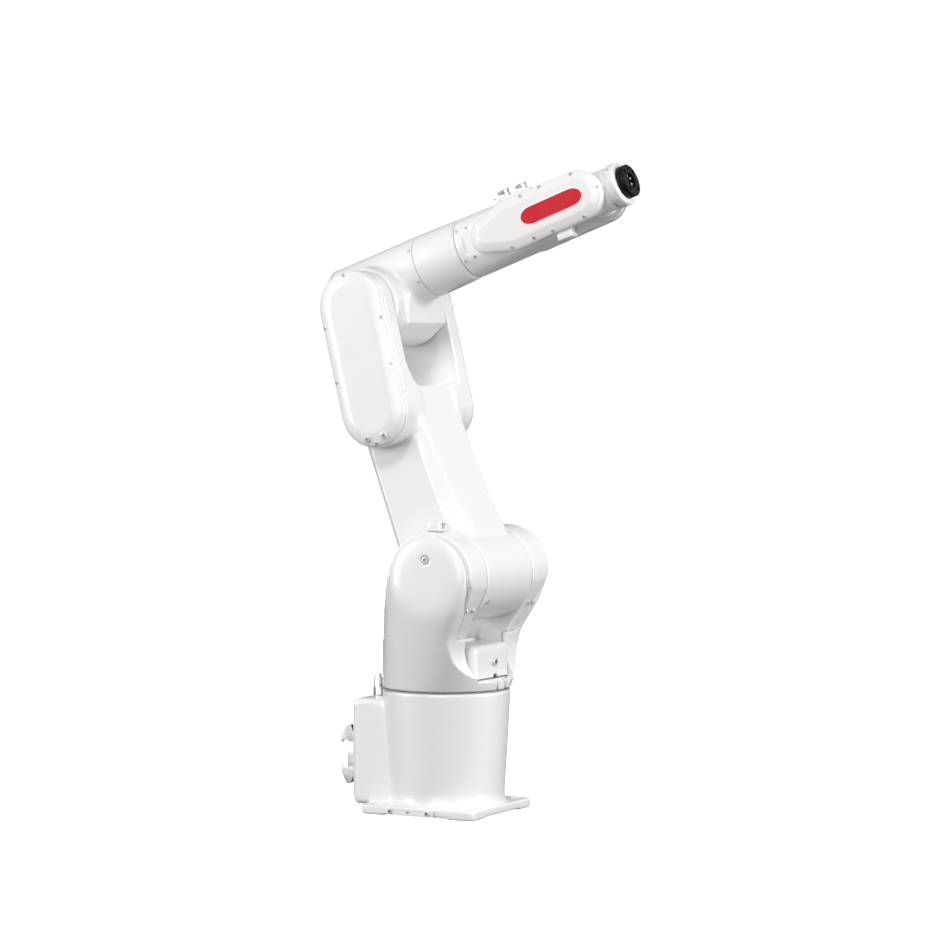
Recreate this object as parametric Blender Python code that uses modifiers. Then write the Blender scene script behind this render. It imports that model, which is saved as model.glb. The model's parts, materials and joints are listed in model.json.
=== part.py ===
"""A small six-axis articulated robot arm, standing on its base with the elbow raised.

Blender 4.5, metres, +Z up, +X forwards. The origin is where the first joint's axis meets the
mounting face. Each link is modelled in the frame of the joint that carries it, and an empty on
that joint's axis places it.
"""

import math

import bmesh
import bpy
from mathutils import Matrix, Vector

# ---- Driving dimensions -------------------------------------------------------------------

SHOULDER_X = 0.043  # from the first axis forwards to the second
SHOULDER_Z = 0.388  # from the mounting face up to the second axis
ARM_LENGTH = 0.460  # from the second axis to the third
ARM_LEAN = math.radians(19.5)  # the lower arm leans back from the vertical
ELBOW_RISE = 0.036  # from the third axis up to the forearm's axis
FOREARM_LENGTH = 0.412  # along the forearm, from the third axis to the fifth
FOREARM_PITCH = math.radians(20.0)  # the forearm points up from the horizontal
GAP = 0.0004  # the seam between pieces that touch on the real machine

# Base
PLATE_HALF_X = 0.100
PLATE_HALF_Y = 0.105
PLATE_THICK = 0.015
PLATE_CORNER = 0.012
FOOT_RELIEF = 0.002
BOLT_X, BOLT_Y, BOLT_HOLE = 0.083, 0.088, 0.0055
DRUM_FOOT_R = 0.0945
DRUM_TOP_R = 0.1045
DRUM_TOP_Z = 0.198
DRUM_BORE_R = 0.086
BOX_REAR_X = -0.137
BOX_HALF_Y = 0.072
BOX_LOW_Z, BOX_TOP_Z = 0.010, 0.184
BOX_WALL = 0.007
CONNECTOR_Y = -0.020
CONNECTOR_Z = 0.088
CONNECTOR_HALF_Y = 0.025
CONNECTOR_HALF_Z = 0.038
CONNECTOR_DEPTH = 0.022
LEVER_PIVOT_Z = 0.026  # from the connector's middle to each lever's pin
LEVER_PIVOT_X = -0.150

# Shoulder
COLUMN_Z = 0.2025
COLUMN_STRAIGHT_Z = 0.300
EAR_R = 0.0755
EAR_IN_Y = 0.0785
EAR_OUT_Y = 0.136
DOME = ((0.1400, 0.0742), (0.1445, 0.0695), (0.1480, 0.0605), (0.1500, 0.0450))  # (y, radius)
BAND_FOOT_Y, BAND_FOOT_Z = 0.101, 0.290  # where the casting's front band runs out
CORE_R = 0.096
SHELL_SPLIT_Y = 0.018
SLOT_FLOOR_Z = 0.279
NOTCH_FLOOR_Z = 0.2195
BAY_HALF_Y = 0.0700
MOTOR_COVER_X = 0.080
MOTOR_COVER_HALF_Y = 0.0690
MOTOR_COVER_TOP_Z = 0.276

# Lower arm, in its own frame: z runs from the second axis to the third, x is forwards
HUB_R = 0.0755
HUB_HALF_Y = 0.0775
ARM_REAR_X = -0.075
ELBOW_R = 0.0595
ELBOW_HALF_Y = 0.113
ELBOW_FOOT = (-0.0174, 0.2894)  # the lower centre of the elbow's round-ended block
FORK_FLOOR_Z = 0.312
FORK_HALF_FLOOR = 0.058
FORK_HALF_Y = 0.083
COVER_FACE_R = 0.0365
COVER_Y = 0.128
BELT_R_DRIVEN, BELT_R_MOTOR, BELT_THICK = 0.030, 0.014, 0.0016

# Elbow, forearm and wrist, in frames whose x runs along the forearm
TUBE_R = 0.053
TUBE_REAR_X, TUBE_FRONT_X = -0.0642, 0.098
HUB3_HALF_Y, HUB3_R, HUB3_STEP_Y = 0.0805, 0.0640, -0.050
HUB3_FRONT = ((0.0545, -0.0475), (0.0720, 0.0020))  # the foot and the top of the hub's front face
J4_SEAM_X = 0.177
FOREARM_R = 0.050
FORK_END_R = 0.040
FORK_OUT_Y = 0.046
WRIST_SLOT_HALF_Y = 0.0365
WRIST_SLOT_X = 0.350
SIDE_COVER_Y = 0.0575
WRIST_R, WRIST_HALF_Y = 0.034, 0.0358
RING_R, RING_START, RING_END = 0.0355, 0.042, 0.060
FLANGE_R, FLANGE_FACE = 0.0265, 0.0735
FLANGE_BORE_R, FLANGE_PCD_R, FLANGE_HOLE_R = 0.0125, 0.020, 0.0027

# ---- Materials: colour, metallic, roughness -----------------------------------------------

FINISHES = {
    "white_paint": ((0.86, 0.85, 0.84), 0.0, 0.35),
    "black_anodised": ((0.03, 0.03, 0.035), 0.6, 0.4),
    "steel": ((0.62, 0.62, 0.64), 1.0, 0.3),
    "grey_zinc": ((0.55, 0.55, 0.56), 0.8, 0.45),
    "motor_black": ((0.05, 0.05, 0.055), 0.1, 0.5),
    "brass_nickel": ((0.72, 0.70, 0.66), 1.0, 0.28),
    "rubber": ((0.02, 0.02, 0.02), 0.0, 0.8),
}


# ---- Scene, frames and helpers ------------------------------------------------------------


def clear_scene():
    for obj in list(bpy.data.objects):
        bpy.data.objects.remove(obj, do_unlink=True)


def new_collection(name):
    collection = bpy.data.collections.new(name)
    bpy.context.scene.collection.children.link(collection)
    return collection


def make_materials():
    made = {}
    for name, (colour, metallic, roughness) in FINISHES.items():
        material = bpy.data.materials.new(name)
        material.use_nodes = True
        shader = material.node_tree.nodes["Principled BSDF"]
        shader.inputs["Base Color"].default_value = (*colour, 1.0)
        shader.inputs["Metallic"].default_value = metallic
        shader.inputs["Roughness"].default_value = roughness
        made[name] = material
    return made


clear_scene()
PARTS = new_collection("six_axis_robot_arm")
CUTTERS = new_collection("cutters")
CUTTERS.hide_render = True
MATERIALS = make_materials()


def frame(name, location, pitch=0.0):
    """An empty on a joint's axis. Pitch turns it about Y."""
    empty = bpy.data.objects.new(name, None)
    empty.empty_display_size = 0.05
    empty.hide_render = True
    empty.matrix_world = Matrix.Translation(location) @ Matrix.Rotation(pitch, 4, "Y")
    PARTS.objects.link(empty)
    return empty


def along(origin, pitch, x, z):
    """The point x along and z up from origin in a frame that is turned about Y by pitch."""
    return Vector(origin) + Matrix.Rotation(pitch, 3, "Y") @ Vector((x, 0, z))


ELBOW_POINT = along((SHOULDER_X, 0, SHOULDER_Z), -ARM_LEAN, 0, ARM_LENGTH)
FOREARM_POINT = along(ELBOW_POINT, -FOREARM_PITCH, 0, ELBOW_RISE)
WRIST_POINT = along(FOREARM_POINT, -FOREARM_PITCH, FOREARM_LENGTH, 0)

BASE = frame("base_frame", (0, 0, 0))
J1 = frame("joint_1_frame", (0, 0, 0))
J2 = frame("joint_2_frame", (SHOULDER_X, 0, SHOULDER_Z), -ARM_LEAN)
J3 = frame("joint_3_frame", ELBOW_POINT, -FOREARM_PITCH)
J4 = frame("joint_4_frame", FOREARM_POINT, -FOREARM_PITCH)
J5 = frame("joint_5_frame", WRIST_POINT, -FOREARM_PITCH)
J6 = frame("joint_6_frame", WRIST_POINT, -FOREARM_PITCH)


def add(name, bm, parent, material=None, origin=(0, 0, 0)):
    """Makes an object of bm, whose points are in the parent's frame. With no material it is a cutter."""
    bmesh.ops.translate(bm, verts=bm.verts, vec=-Vector(origin))
    bmesh.ops.recalc_face_normals(bm, faces=bm.faces)
    mesh = bpy.data.meshes.new(name)
    bm.to_mesh(mesh)
    bm.free()
    obj = bpy.data.objects.new(name, mesh)
    obj.parent = parent
    obj.location = origin
    if material:
        mesh.materials.append(MATERIALS[material])
        mesh.shade_smooth()
        mesh.set_sharp_from_angle(angle=math.radians(30))
        PARTS.objects.link(obj)
    else:
        obj.hide_render = True
        obj.display_type = "WIRE"
        CUTTERS.objects.link(obj)
    return obj


def boolean(obj, other, operation="DIFFERENCE"):
    modifier = obj.modifiers.new(operation.lower(), "BOOLEAN")
    modifier.operation = operation
    modifier.object = other
    modifier.solver = "EXACT"
    return obj


def bevel(obj, width, segments=2, angle=40):
    modifier = obj.modifiers.new("rounded edges", "BEVEL")
    modifier.width = width
    modifier.segments = segments
    modifier.limit_method = "ANGLE"
    modifier.angle_limit = math.radians(angle)
    return obj


def box_mesh(low, high):
    bm = bmesh.new()
    size = Vector(high) - Vector(low)
    middle = (Vector(high) + Vector(low)) / 2
    bmesh.ops.create_cube(bm, size=1, matrix=Matrix.Translation(middle) @ Matrix.Diagonal((*size, 1)))
    return bm


AXIS_TURN = {
    "X": Matrix.Rotation(math.pi / 2, 4, "Y"),
    "Y": Matrix.Rotation(-math.pi / 2, 4, "X"),
    "Z": Matrix.Identity(4),
}


def cylinder_mesh(axis, start, end, radius, centre=(0, 0), radius_end=None, segments=32):
    """A cylinder or cone along an axis from start to end. Centre holds the other two coordinates."""
    bm = bmesh.new()
    middle = (start + end) / 2
    place = {
        "X": (middle, centre[0], centre[1]),
        "Y": (centre[0], middle, centre[1]),
        "Z": (centre[0], centre[1], middle),
    }[axis]
    bmesh.ops.create_cone(
        bm,
        cap_ends=True,
        segments=segments,
        radius1=radius,
        radius2=radius if radius_end is None else radius_end,
        depth=end - start,
        matrix=Matrix.Translation(place) @ AXIS_TURN[axis],
    )
    return bm


def box(name, parent, low, high, material=None):
    return add(name, box_mesh(low, high), parent, material)


def cylinder(name, parent, axis, start, end, radius, material=None, **shape):
    return add(name, cylinder_mesh(axis, start, end, radius, **shape), parent, material)


def ring(axis, at, radius, centre=(0, 0), segments=32):
    """The points of a circle round an axis."""
    points = []
    for i in range(segments):
        angle = 2 * math.pi * (i + 0.5) / segments
        a, b = centre[0] + radius * math.cos(angle), centre[1] + radius * math.sin(angle)
        points.append({"X": (at, a, b), "Y": (a, at, b), "Z": (a, b, at)}[axis])
    return points


def hull_mesh(*rings):
    """The convex hull of rings of points, which is how round forms flow into each other."""
    bm = bmesh.new()
    for point in [p for points in rings for p in points]:
        bm.verts.new(point)
    made = bmesh.ops.convex_hull(bm, input=bm.verts)
    loose = set(made["geom_interior"]) | set(made["geom_unused"])
    bmesh.ops.delete(bm, geom=[g for g in loose if isinstance(g, bmesh.types.BMVert)], context="VERTS")
    bmesh.ops.dissolve_limit(bm, angle_limit=0.002, verts=bm.verts, edges=bm.edges)
    return bm


def hull(name, parent, rings, material=None):
    return add(name, hull_mesh(*rings), parent, material)


def prism(name, parent, outline, half_width, material=None):
    """A flat outline of (x, z) points, made as a filled 2D curve and given its width along Y."""
    curve = bpy.data.curves.new(name, "CURVE")
    curve.dimensions = "2D"
    curve.fill_mode = "BOTH"
    curve.extrude = half_width
    spline = curve.splines.new("POLY")
    spline.points.add(len(outline) - 1)
    for point, (x, z) in zip(spline.points, outline):
        point.co = (x, z, 0, 1)
    spline.use_cyclic_u = True
    guide = bpy.data.objects.new(name + "_outline", curve)
    CUTTERS.objects.link(guide)
    mesh = bpy.data.meshes.new_from_object(guide.evaluated_get(bpy.context.evaluated_depsgraph_get()))
    bm = bmesh.new()
    bm.from_mesh(mesh)
    bmesh.ops.remove_doubles(bm, verts=bm.verts, dist=1e-5)
    bmesh.ops.transform(bm, matrix=Matrix.Rotation(math.pi / 2, 4, "X"), verts=bm.verts)
    bpy.data.objects.remove(guide)
    bpy.data.meshes.remove(mesh)
    bpy.data.curves.remove(curve)
    return add(name, bm, parent, material)


def round_ended(y_and_radius, ends, segments=32):
    """Rings for a round-ended block across Y: at each y, a circle of that radius round each end."""
    return [ring("Y", y, radius, centre, segments) for y, radius in y_and_radius for centre in ends]


# ---- Base ---------------------------------------------------------------------------------


def base_housing():
    corner_x, corner_y = PLATE_HALF_X - PLATE_CORNER, PLATE_HALF_Y - PLATE_CORNER
    corners = [(sx * corner_x, sy * corner_y) for sx in (-1, 1) for sy in (-1, 1)]
    plate = [ring("Z", z, PLATE_CORNER, c, 16) for z in (0, PLATE_THICK) for c in corners]
    housing = hull("base_housing", BASE, plate, "white_paint")
    drum = [
        ring("Z", PLATE_THICK - 0.003, DRUM_FOOT_R, segments=48),
        ring("Z", DRUM_TOP_Z - 0.002, DRUM_TOP_R, segments=48),
        ring("Z", DRUM_TOP_Z, DRUM_TOP_R - 0.002, segments=48),
    ]
    boolean(housing, hull("drum", BASE, drum), "UNION")
    weld = [
        ring("Z", PLATE_THICK - 0.002, DRUM_FOOT_R + 0.006, segments=48),
        ring("Z", PLATE_THICK + 0.006, DRUM_FOOT_R - 0.001, segments=48),
    ]
    boolean(housing, hull("drum_weld", BASE, weld), "UNION")
    rear_low, rear_high = (BOX_REAR_X, -BOX_HALF_Y, BOX_LOW_Z), (-0.040, BOX_HALF_Y, BOX_TOP_Z)
    boolean(housing, bevel(box("rear_box", BASE, rear_low, rear_high), 0.009, 2), "UNION")
    boolean(housing, cylinder("drum_bore", BASE, "Z", 0.012, 0.3, DRUM_BORE_R, segments=48))
    inner = BOX_HALF_Y - BOX_WALL
    cavity_low, cavity_high = (-0.2, -inner, BOX_LOW_Z + 0.010), (-0.050, inner, BOX_TOP_Z - BOX_WALL)
    boolean(housing, box("box_cavity", BASE, cavity_low, cavity_high))
    for i, (x, y) in enumerate((sx * BOLT_X, sy * BOLT_Y) for sx in (1, -1) for sy in (1, -1)):
        hole = cylinder(f"bolt_hole_{i}", BASE, "Z", -0.01, 0.03, BOLT_HOLE, centre=(x, y), segments=16)
        boolean(housing, hole)
    for side in (-1, 1):
        low, high = sorted((side * (PLATE_HALF_Y - 0.030), side * (PLATE_HALF_Y + 0.01)))
        relief = box(f"foot_relief_{side}", BASE, (-0.060, low, -0.01), (0.060, high, FOOT_RELIEF))
        boolean(housing, relief)
    front_low, front_high = (PLATE_HALF_X - 0.030, -0.062, -0.01), (PLATE_HALF_X + 0.01, 0.062, FOOT_RELIEF)
    boolean(housing, box("front_relief", BASE, front_low, front_high))
    return housing


def rear_panel():
    low = (BOX_REAR_X - 0.0030, -BOX_HALF_Y + 0.009, BOX_LOW_Z + 0.012)
    high = (BOX_REAR_X - GAP, BOX_HALF_Y - 0.009, BOX_TOP_Z - 0.012)
    panel = box("rear_panel", BASE, low, high, "white_paint")
    hole_y, hole_z = CONNECTOR_HALF_Y - 0.005, CONNECTOR_HALF_Z - 0.006
    hole = box(
        "panel_opening",
        BASE,
        (-0.2, CONNECTOR_Y - hole_y, CONNECTOR_Z - hole_z),
        (-0.1, CONNECTOR_Y + hole_y, CONNECTOR_Z + hole_z),
    )
    return bevel(boolean(panel, hole), 0.0006, 1)


def connector():
    """A rectangular bulkhead connector: its housing, its contact insert and two locking levers."""
    face = BOX_REAR_X - 0.0030 - GAP
    flange = box(
        "connector_housing",
        BASE,
        (face - 0.005, CONNECTOR_Y - CONNECTOR_HALF_Y - 0.004, CONNECTOR_Z - CONNECTOR_HALF_Z - 0.008),
        (face, CONNECTOR_Y + CONNECTOR_HALF_Y + 0.004, CONNECTOR_Z + CONNECTOR_HALF_Z + 0.008),
        "grey_zinc",
    )
    collar = box(
        "connector_collar",
        BASE,
        (face - CONNECTOR_DEPTH, CONNECTOR_Y - CONNECTOR_HALF_Y, CONNECTOR_Z - CONNECTOR_HALF_Z),
        (face - 0.002, CONNECTOR_Y + CONNECTOR_HALF_Y, CONNECTOR_Z + CONNECTOR_HALF_Z),
    )
    boolean(flange, bevel(collar, 0.003, 2), "UNION")
    well_y, well_z = CONNECTOR_HALF_Y - 0.004, CONNECTOR_HALF_Z - 0.004
    well = box(
        "connector_well",
        BASE,
        (-0.2, CONNECTOR_Y - well_y, CONNECTOR_Z - well_z),
        (-0.13, CONNECTOR_Y + well_y, CONNECTOR_Z + well_z),
    )
    boolean(flange, well)
    insert = box(
        "connector_insert",
        BASE,
        (face - 0.012, CONNECTOR_Y - well_y + 0.001, CONNECTOR_Z - well_z + 0.001),
        (face - 0.0005, CONNECTOR_Y + well_y - 0.001, CONNECTOR_Z + well_z - 0.001),
        "motor_black",
    )
    pins = 5
    for row in (-1, 1):
        for i in range(pins):
            z = CONNECTOR_Z + (i - (pins - 1) / 2) * 0.0115
            y = CONNECTOR_Y + row * 0.008
            reach = (face - 0.02, face - 0.008)
            socket = cylinder(f"contact_{row}_{i}", BASE, "X", *reach, 0.0022, centre=(y, z), segments=8)
            boolean(insert, socket)
    for name, up in (("connector_lever_upper", 1), ("connector_lever_lower", -1)):
        lever(name, up)


def lever(name, up):
    """A hooked bail: two cheek plates on the connector's sides, joined by a bar across its end."""
    pivot = (LEVER_PIVOT_X, CONNECTOR_Y, CONNECTOR_Z + up * LEVER_PIVOT_Z)
    hook = [(0.002, -0.005), (0.002, 0.006), (-0.004, 0.0225), (-0.012, 0.0225), (-0.022, 0.004)]
    hook += [(-0.0235, -0.006), (-0.019, -0.008), (-0.015, -0.002), (-0.007, -0.005)]
    outline = [(x, up * z) for x, z in hook]
    cheek_y = CONNECTOR_HALF_Y + 0.0004
    whole = prism(name, BASE, outline, cheek_y + 0.0022, "steel")
    whole.location = pivot
    gap = box(name + "_gap", BASE, (-0.04, -cheek_y, -0.04), (0.02, cheek_y, 0.04))
    gap.location = pivot
    boolean(whole, gap)
    bar_z = up * 0.0200
    low, high = (-0.010, -cheek_y - 0.001, bar_z - 0.002), (-0.006, cheek_y + 0.001, bar_z + 0.002)
    bar = box(name + "_bar", BASE, low, high)
    bar.location = pivot
    boolean(whole, bar, "UNION")
    return whole


def air_inlet(name, y):
    """A push-in tube fitting: hexagon, band, barrel and release collar, with its bore."""
    at, foot = (-0.118, y), BOX_TOP_Z + GAP
    body = cylinder(name, BASE, "Z", foot, foot + 0.014, 0.0085, "brass_nickel", centre=at, segments=6)
    steps = (("barrel", 0.012, 0.030, 0.0072, "UNION"), ("collar", 0.028, 0.036, 0.0052, "UNION"))
    for step, low, high, radius, operation in (*steps, ("bore", 0.020, 0.050, 0.0031, "DIFFERENCE")):
        reach = (foot + low, foot + high)
        piece = cylinder(f"{name}_{step}", BASE, "Z", *reach, radius, centre=at, segments=20)
        boolean(body, piece, operation)
    return body


def base_side_plate():
    y = -PLATE_HALF_Y - GAP
    low, high = (-0.058, y - 0.0016, 0.0030), (0.034, y, PLATE_THICK - 0.0015)
    plate = box("base_side_plate", BASE, low, high, "white_paint")
    for i, x in enumerate((-0.046, 0.022)):
        at = (x, 0.0085)
        reach = (y - 0.01, y + 0.01)
        boolean(plate, cylinder(f"side_plate_hole_{i}", BASE, "Y", *reach, 0.0026, centre=at, segments=12))
    return plate


def base_internals():
    cylinder("j1_motor", BASE, "Z", 0.0125, 0.095, 0.038, "motor_black", centre=(0.0, 0.0), segments=24)
    cylinder("j1_gearbox", BASE, "Z", 0.0955, 0.150, 0.052, "grey_zinc", segments=32)
    outer_r = DRUM_BORE_R - GAP
    bearing = cylinder("j1_bearing_outer_ring", BASE, "Z", 0.178, 0.1925, outer_r, "steel", segments=48)
    boolean(bearing, cylinder("bearing_bore", BASE, "Z", 0.1, 0.25, 0.0765, segments=40))


# ---- Shoulder column ----------------------------------------------------------------------

J2_AT = (SHOULDER_X, SHOULDER_Z)


def column_form():
    """The column's outer form: an upright drum that flows into two round ears with domed sides."""
    rings = [ring("Z", z, DRUM_TOP_R, segments=48) for z in (COLUMN_Z, COLUMN_STRAIGHT_Z)]
    for side in (-1, 1):
        rings += [ring("Y", side * y, EAR_R, J2_AT, 40) for y in (EAR_IN_Y, EAR_OUT_Y)]
        rings += [ring("Y", side * y, radius, J2_AT, 40) for y, radius in DOME]
    return hull_mesh(*rings)


def column_core(name, grow):
    """What the casting takes of the form: a round foot, and ears that end at the covers' edges."""
    core = cylinder(name, J1, "Z", 0.1, BAND_FOOT_Z + 0.01, CORE_R + grow, segments=48)
    half = ((BAND_FOOT_Z, BAND_FOOT_Y), (SHOULDER_Z, EAR_OUT_Y), (0.6, EAR_OUT_Y))
    corners = [[(x, side * (y + grow), z) for x in (-0.2, 0.2) for side in (-1, 1)] for z, y in half]
    return boolean(core, hull(name + "_ears", J1, corners), "UNION")


def notch_outline():
    """The front cut, seen from the side: it leaves the ear's circle, runs down and sweeps forwards."""
    ear = [(0.1160, 0.372), (0.1100, 0.356), (0.1010, 0.338), (0.0890, 0.310), (0.0810, 0.292)]
    neck = [(0.0745, 0.277), (0.0725, 0.264), (0.0750, 0.251), (0.0815, 0.239), (0.0900, 0.229)]
    sweep = [(0.1000, 0.2215), (0.1060, NOTCH_FLOOR_Z)]
    return [(0.3, 0.372), *ear, *neck, *sweep, (0.3, NOTCH_FLOOR_Z)]


def shoulder():
    casting = add("shoulder_casting", column_form(), J1, "white_paint")
    boolean(casting, column_core("casting_region", 0), "INTERSECT")
    notch = prism("front_notch", J1, notch_outline(), 0.25)
    cover_region = column_core("cover_region", GAP)
    slot = box("fork_slot", J1, (-0.3, -EAR_IN_Y, SLOT_FLOOR_Z), (0.3, EAR_IN_Y, 0.6))
    boolean(casting, notch)
    boolean(casting, slot)
    bay = box("cover_bay", J1, (0.0196, -BAY_HALF_Y, NOTCH_FLOOR_Z), (0.3, BAY_HALF_Y, 0.3))
    boolean(casting, bay)
    boolean(casting, cylinder("bearing_bores", J1, "Y", -0.2, 0.2, 0.0580, centre=J2_AT, segments=32))
    boolean(casting, cylinder("column_bore", J1, "Z", 0.1, 0.262, 0.045, segments=24))
    for side, name in ((-1, "shoulder_cover_right"), (1, "shoulder_cover_left")):
        cover = side_cover(name, side, cover_region, notch)
        boolean(cover, bay)
        boolean(cover, slot)
    return casting


def side_cover(name, side, cover_region, notch):
    """A shell over one side: a dome on the ear, and below it a wall that wraps the casting's foot."""
    cover = add(name, column_form(), J1, "white_paint")
    boolean(cover, cover_region)
    boolean(cover, notch)
    low, high = sorted((side * SHELL_SPLIT_Y, -side * 0.3))
    boolean(cover, box(name + "_front_split", J1, (0, low, 0), (0.3, high, 0.6)))
    low, high = sorted((side * GAP, -side * 0.3))
    boolean(cover, box(name + "_rear_split", J1, (-0.3, low, 0), (0.001, high, 0.6)))
    hollow = [ring("Y", side * y, radius, J2_AT, 32) for y, radius in ((0.10, 0.0640), (0.1440, 0.0540))]
    boolean(cover, hull(name + "_hollow", J1, hollow))
    return cover


def cover_screw(name, parent, centre, y_face, side, length=0.004, radius=0.0055):
    """A socket-head screw across Y, its head standing on y_face."""
    low, high = sorted((y_face, y_face + side * length))
    head = cylinder(name, parent, "Y", low, high, radius, "steel", centre=centre, segments=20)
    reach = sorted((y_face + side * length * 0.4, y_face + side * length * 3))
    socket = cylinder(name + "_socket", parent, "Y", *reach, radius * 0.5, centre=centre, segments=6)
    return boolean(head, socket)


def shoulder_fittings():
    low = (0.020, -MOTOR_COVER_HALF_Y, NOTCH_FLOOR_Z + 0.0010)
    high = (MOTOR_COVER_X, MOTOR_COVER_HALF_Y, MOTOR_COVER_TOP_Z)
    cover = bevel(box("j1_motor_cover", J1, low, high, "white_paint"), 0.010, 3)
    inside_high = (MOTOR_COVER_X - 0.006, 0.062, MOTOR_COVER_TOP_Z - 0.006)
    boolean(cover, box("cover_inside", J1, (0.0, -0.062, 0.2), inside_high))
    reach = (MOTOR_COVER_X + GAP, MOTOR_COVER_X + 0.004)
    cylinder("j1_motor_cover_screw", J1, "X", *reach, 0.0055, "steel", centre=(0.006, 0.247), segments=20)
    turntable = cylinder("j1_turntable", J1, "Z", 0.160, COLUMN_Z - GAP, 0.0755, "steel", segments=40)
    boolean(turntable, cylinder("cable_bore", J1, "Z", 0.1, 0.3, 0.030, segments=24))
    stop = box("j1_stop_block", J1, (0.0968, -0.0110, COLUMN_Z), (0.1020, 0.0110, 0.2180), "white_paint")
    bevel(stop, 0.0010, 1)
    for side, name in ((-1, "right"), (1, "left")):
        cover_screw(f"shoulder_cover_screw_{name}", J1, (0.042, 0.419), side * 0.1504, side, 0.003)
    top = SHOULDER_Z + EAR_R
    low, high = (0.030, -0.128, top + GAP), (0.056, -0.100, top + 0.0105)
    bevel(box("j2_zero_mark_block", J1, low, high, "white_paint"), 0.0015, 1)
    reducer = cylinder("j2_reducer", J1, "Y", -0.1145, -EAR_IN_Y - GAP, 0.0576, "grey_zinc", centre=J2_AT)
    boolean(reducer, cylinder("reducer_bore", J1, "Y", -0.2, 0, 0.0365, centre=J2_AT, segments=24))
    cylinder("j2_motor", J1, "Y", -0.1390, -0.030, 0.0355, "motor_black", centre=J2_AT, segments=24)
    bearing = cylinder("j2_bearing", J1, "Y", EAR_IN_Y + GAP, 0.098, 0.0576, "steel", centre=J2_AT)
    boolean(bearing, cylinder("j2_bearing_bore", J1, "Y", 0, 0.2, 0.040, centre=J2_AT, segments=24))


# ---- Lower arm ----------------------------------------------------------------------------

# The arm at each height: (height, front x, half width of the front face, x where its bevel starts)
ARM_SECTIONS = (
    (0.000, 0.0600, 0.0560, 0.0340),
    (0.054, 0.0605, 0.0560, 0.0330),
    (0.085, 0.0535, 0.0580, 0.0285),
    (0.120, 0.0475, 0.0600, 0.0245),
    (0.165, 0.0425, 0.0620, 0.0215),
    (0.210, 0.0385, 0.0655, 0.0190),
    (0.250, 0.0375, 0.0700, 0.0200),
    (0.300, 0.0390, 0.0740, 0.0240),
    (0.330, 0.0405, 0.0750, 0.0260),
)
ELBOW_ENDS = ((0.0, ARM_LENGTH), ELBOW_FOOT)


def arm_beam():
    """The waisted beam, lofted through sections with bevelled corners."""
    bm = bmesh.new()
    rows = []
    for z, front, half_front, start in ARM_SECTIONS:
        half, rear = HUB_HALF_Y - 0.0005, ARM_REAR_X
        profile = [(front, half_front), (start, half), (rear + 0.018, half), (rear, half - 0.018)]
        loop = profile + [(x, -y) for x, y in reversed(profile)]
        rows.append([bm.verts.new((x, y, z)) for x, y in loop])
    count = len(rows[0])
    for low, high in zip(rows, rows[1:]):
        for i in range(count):
            j = (i + 1) % count
            bm.faces.new((low[i], low[j], high[j], high[i]))
    bm.faces.new(rows[0])
    bm.faces.new(reversed(rows[-1]))
    return add("arm_beam", bm, J2)


def fork_cutter():
    """The gap between the elbow's ears: it narrows to the floor, and more on the right."""
    levels = (
        (FORK_FLOOR_Z, -FORK_HALF_FLOOR, 0.074),
        (FORK_FLOOR_Z + 0.012, -FORK_HALF_FLOOR - 0.013, 0.080),
        (FORK_FLOOR_Z + 0.038, -FORK_HALF_Y, FORK_HALF_Y),
        (0.6, -FORK_HALF_Y, FORK_HALF_Y),
    )
    corners = [[(x, y, z) for x in (-0.2, 0.2) for y in (right, left)] for z, right, left in levels]
    return hull("elbow_fork_gap", J2, corners)


def lower_arm():
    reach = (-HUB_HALF_Y, HUB_HALF_Y)
    casting = cylinder("lower_arm_casting", J2, "Y", *reach, HUB_R, "white_paint", segments=48)
    boolean(casting, arm_beam(), "UNION")
    for side in (-1, 1):
        pad = round_ended([(side * y, ELBOW_R) for y in (0.055, ELBOW_HALF_Y)], ELBOW_ENDS, 40)
        boolean(casting, hull(f"elbow_pad_{side}", J2, pad), "UNION")
    boolean(casting, fork_cutter())
    boolean(casting, cylinder("hub_bore", J2, "Y", -0.2, 0.020, 0.0430, segments=24))
    recess = round_ended(((-0.2, 0.046), (-0.0960, 0.046)), ELBOW_ENDS, 24)
    boolean(casting, hull("belt_recess", J2, recess))
    boolean(casting, cylinder("motor_bore", J2, "Y", -0.2, 0.030, 0.0315, centre=ELBOW_FOOT, segments=24))
    for side in (-1, 1):
        low, high = sorted((side * 0.06, side * 0.15))
        bore = cylinder(f"elbow_bore_{side}", J2, "Y", low, high, 0.0385, centre=ELBOW_ENDS[0])
        boolean(casting, bore)
    return casting


def elbow_cover(name, side, face_y, hollow):
    start = ELBOW_HALF_Y + GAP
    wall = ((start, ELBOW_R - 0.0005), (start + 0.006, ELBOW_R - 0.0005))
    steps = (*wall, (face_y - 0.003, ELBOW_R - 0.009), (face_y, COVER_FACE_R + 0.002))
    cover = hull(name, J2, round_ended([(side * y, r) for y, r in steps], ELBOW_ENDS, 40), "white_paint")
    if hollow:
        inner = ((start - 0.02, 0.050), (start + 0.005, 0.050), (face_y - 0.003, 0.040))
        rings = round_ended([(side * y, r) for y, r in inner], ELBOW_ENDS, 24)
        boolean(cover, hull(name + "_hollow", J2, rings))
    return cover


def belt_loop(name, parent, big, big_at, small, small_at, y_low, y_high):
    """A toothless timing belt: the hull of two circles, less the hull of two smaller ones."""
    circles = ((big + 0.0003, big_at), (small + 0.0003, small_at))
    outer = [ring("Y", y, r + BELT_THICK, at, 24) for y in (y_low, y_high) for r, at in circles]
    inner = [ring("Y", y, r, at, 24) for y in (y_low - 0.01, y_high + 0.01) for r, at in circles]
    belt = hull(name, parent, outer, "rubber")
    return boolean(belt, hull(name + "_inside", parent, inner))


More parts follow.
